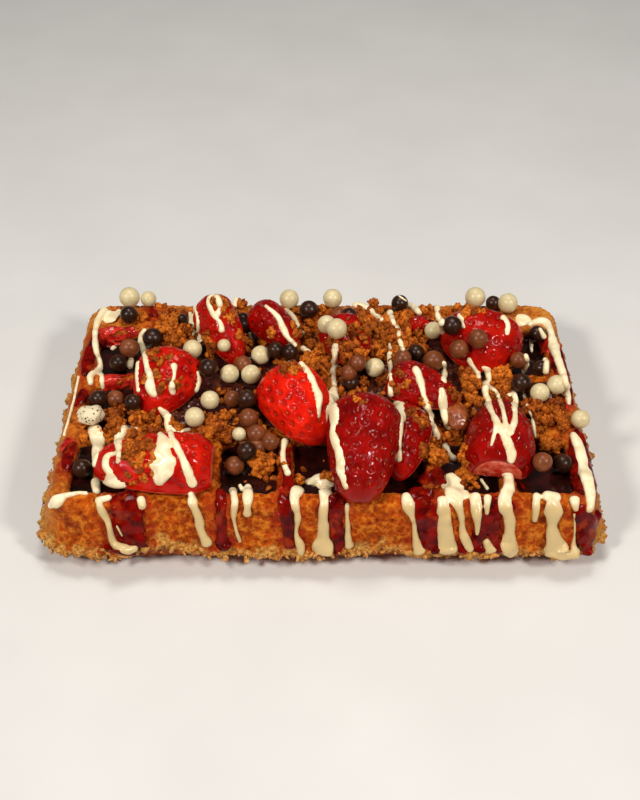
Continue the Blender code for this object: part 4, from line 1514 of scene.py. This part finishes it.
def stain_crust(crust, red):
    """Paint the crust red where sauce lies on it or close by."""
    tree = BVHTree.FromObject(red, bpy.context.evaluated_depsgraph_get())
    stained = []
    for vert in crust.data.vertices:
        hit = tree.find_nearest(vert.co, STAIN_REACH * MM)
        near = 1.0 - hit[3] / MM / STAIN_REACH if hit[0] is not None else 0.0
        patchy = near * (1.0 + 1.2 * rough(vert.co / MM, 0.35, 15, 2))
        stained.append(min(1.0, max(0.0, patchy)))
    write_attribute(crust.data, "stained", stained)


def make_drizzle(material, carriers):
    parts = lay_strands(WHITE_STRANDS, DRIZZLE_THICKNESS, carriers)
    for seed, (u, v, across, deep) in enumerate(WHITE_PUDDLES):
        add_puddle(parts, u, v, across, deep, carriers, seed + 5)
    drizzle = pour("white_drizzle", parts, DRIZZLE_VOXEL, material)
    points = read_points(drizzle.data)
    hanging = smooth_step(TOP_WIDTH / 2 - 1.0, TOP_WIDTH / 2 + 1.5, -points[:, 1])
    write_attribute(drizzle.data, "hanging", hanging)
    return drizzle


def make_melted_pearl(material, carriers):
    """A half-melted speckled white pearl on the left rim."""
    hit = carriers.seen(*MELTED_PIXEL)[0]
    points, faces = BALL
    shape = points * swells(points, 0.22, 0.9, 11, 3) * np.array(MELTED_SIZE)
    parts = Parts()
    parts.add(shape + np.array(hit) + np.array(MELTED_SHIFT), faces)
    return parts.piece("melted_pearl", material)


# Floor, lights and camera

def make_stage():
    floor_look = Look("floor", 0.55)
    floor_look.two_tone(floor_look.patches(60.0, 0.3, 0.7, 2.0), (0.66, 0.65, 0.63), (0.70, 0.69, 0.67))
    floor = Parts()
    reach = 1500.0
    corners = [(-reach, -reach), (reach, -reach), (reach, reach), (-reach, reach)]
    floor.add([(x, y, -0.05) for x, y in corners], [[0, 1, 2, 3]])
    item = floor.build("floor", [floor_look.material])


def add_light(name, place, size, power, colour):
    data = bpy.data.lights.new(name, "AREA")
    data.shape = "DISK"
    data.size = size
    data.energy = power
    data.color = colour
    item = new_object(name, data)
    item.location = place
    aim = Vector((0.0, 0.0, 0.02)) - Vector(place)
    item.rotation_euler = aim.to_track_quat("-Z", "Y").to_euler()


def make_lights():
    add_light("key_left", (-0.42, -0.42, 0.62), 0.14, 3.9, (1.0, 0.96, 0.90))
    add_light("key_right", (0.46, -0.36, 0.60), 0.14, 3.4, (1.0, 0.96, 0.90))
    add_light("top", (0.0, 0.16, 0.85), 0.30, 3.0, (1.0, 0.97, 0.93))
    world = bpy.data.worlds.new("studio")
    world.use_nodes = True
    background = world.node_tree.nodes["Background"]
    background.inputs["Color"].default_value = (0.90, 0.91, 0.93, 1.0)
    background.inputs["Strength"].default_value = 0.11
    bpy.context.scene.world = world
    bpy.context.scene.view_settings.view_transform = "Standard"


def make_camera():
    data = bpy.data.cameras.new("camera")
    data.lens = CAMERA_LENS
    data.sensor_width = CAMERA_SENSOR
    item = new_object("camera", data)
    item.location = CAMERA_PLACE * MM
    item.rotation_euler = (CAMERA_TILT, 0.0, 0.0)
    bpy.context.scene.camera = item


def main():
    make_camera()
    make_lights()
    make_stage()
    white = pearl_material("white_pearl_look", (0.60, 0.48, 0.25), (0.73, 0.61, 0.36), 0.34, 0.4)
    dark = pearl_material("dark_pearl_look", (0.016, 0.005, 0.002), (0.046, 0.014, 0.006), 0.30, 0.22)
    milk = pearl_material("milk_pearl_look", (0.13, 0.032, 0.009), (0.24, 0.066, 0.020), 0.34, 0.22)
    crumb = crumb_material()
    carriers = Carriers()
    crust = make_crust(crust_material())
    carriers.add(crust)
    make_flakes(flake_material())
    carriers.add(make_beds(bed_material()))
    carriers.add(make_pools(sauce_material()))
    berry_looks = [berry_material(), flesh_material(), seed_material()]
    for spec in STRAWBERRIES:
        carriers.add(make_strawberry(spec, berry_looks))
    carriers.add(make_large_crumbs(crumb, carriers))
    carriers.add(make_nut(nut_material(), carriers))
    make_smears(smear_material(), carriers)
    red = make_red_sauce(red_material(), carriers)
    stain_crust(crust, red)
    carriers.add(make_pearls("milk", milk, SUNK_MILK, LOOSE_MILK, carriers))
    carriers.add(make_pearls("dark", dark, SUNK_DARK, LOOSE_DARK, carriers))
    carriers.add(make_pearls("white", white, [], LOOSE_WHITE, carriers))
    carriers.add(red)
    carriers.add(make_melted_pearl(speckled_material(), carriers))
    make_drizzle(drizzle_material(), carriers)
    make_small_crumbs(crumb, carriers)


main()
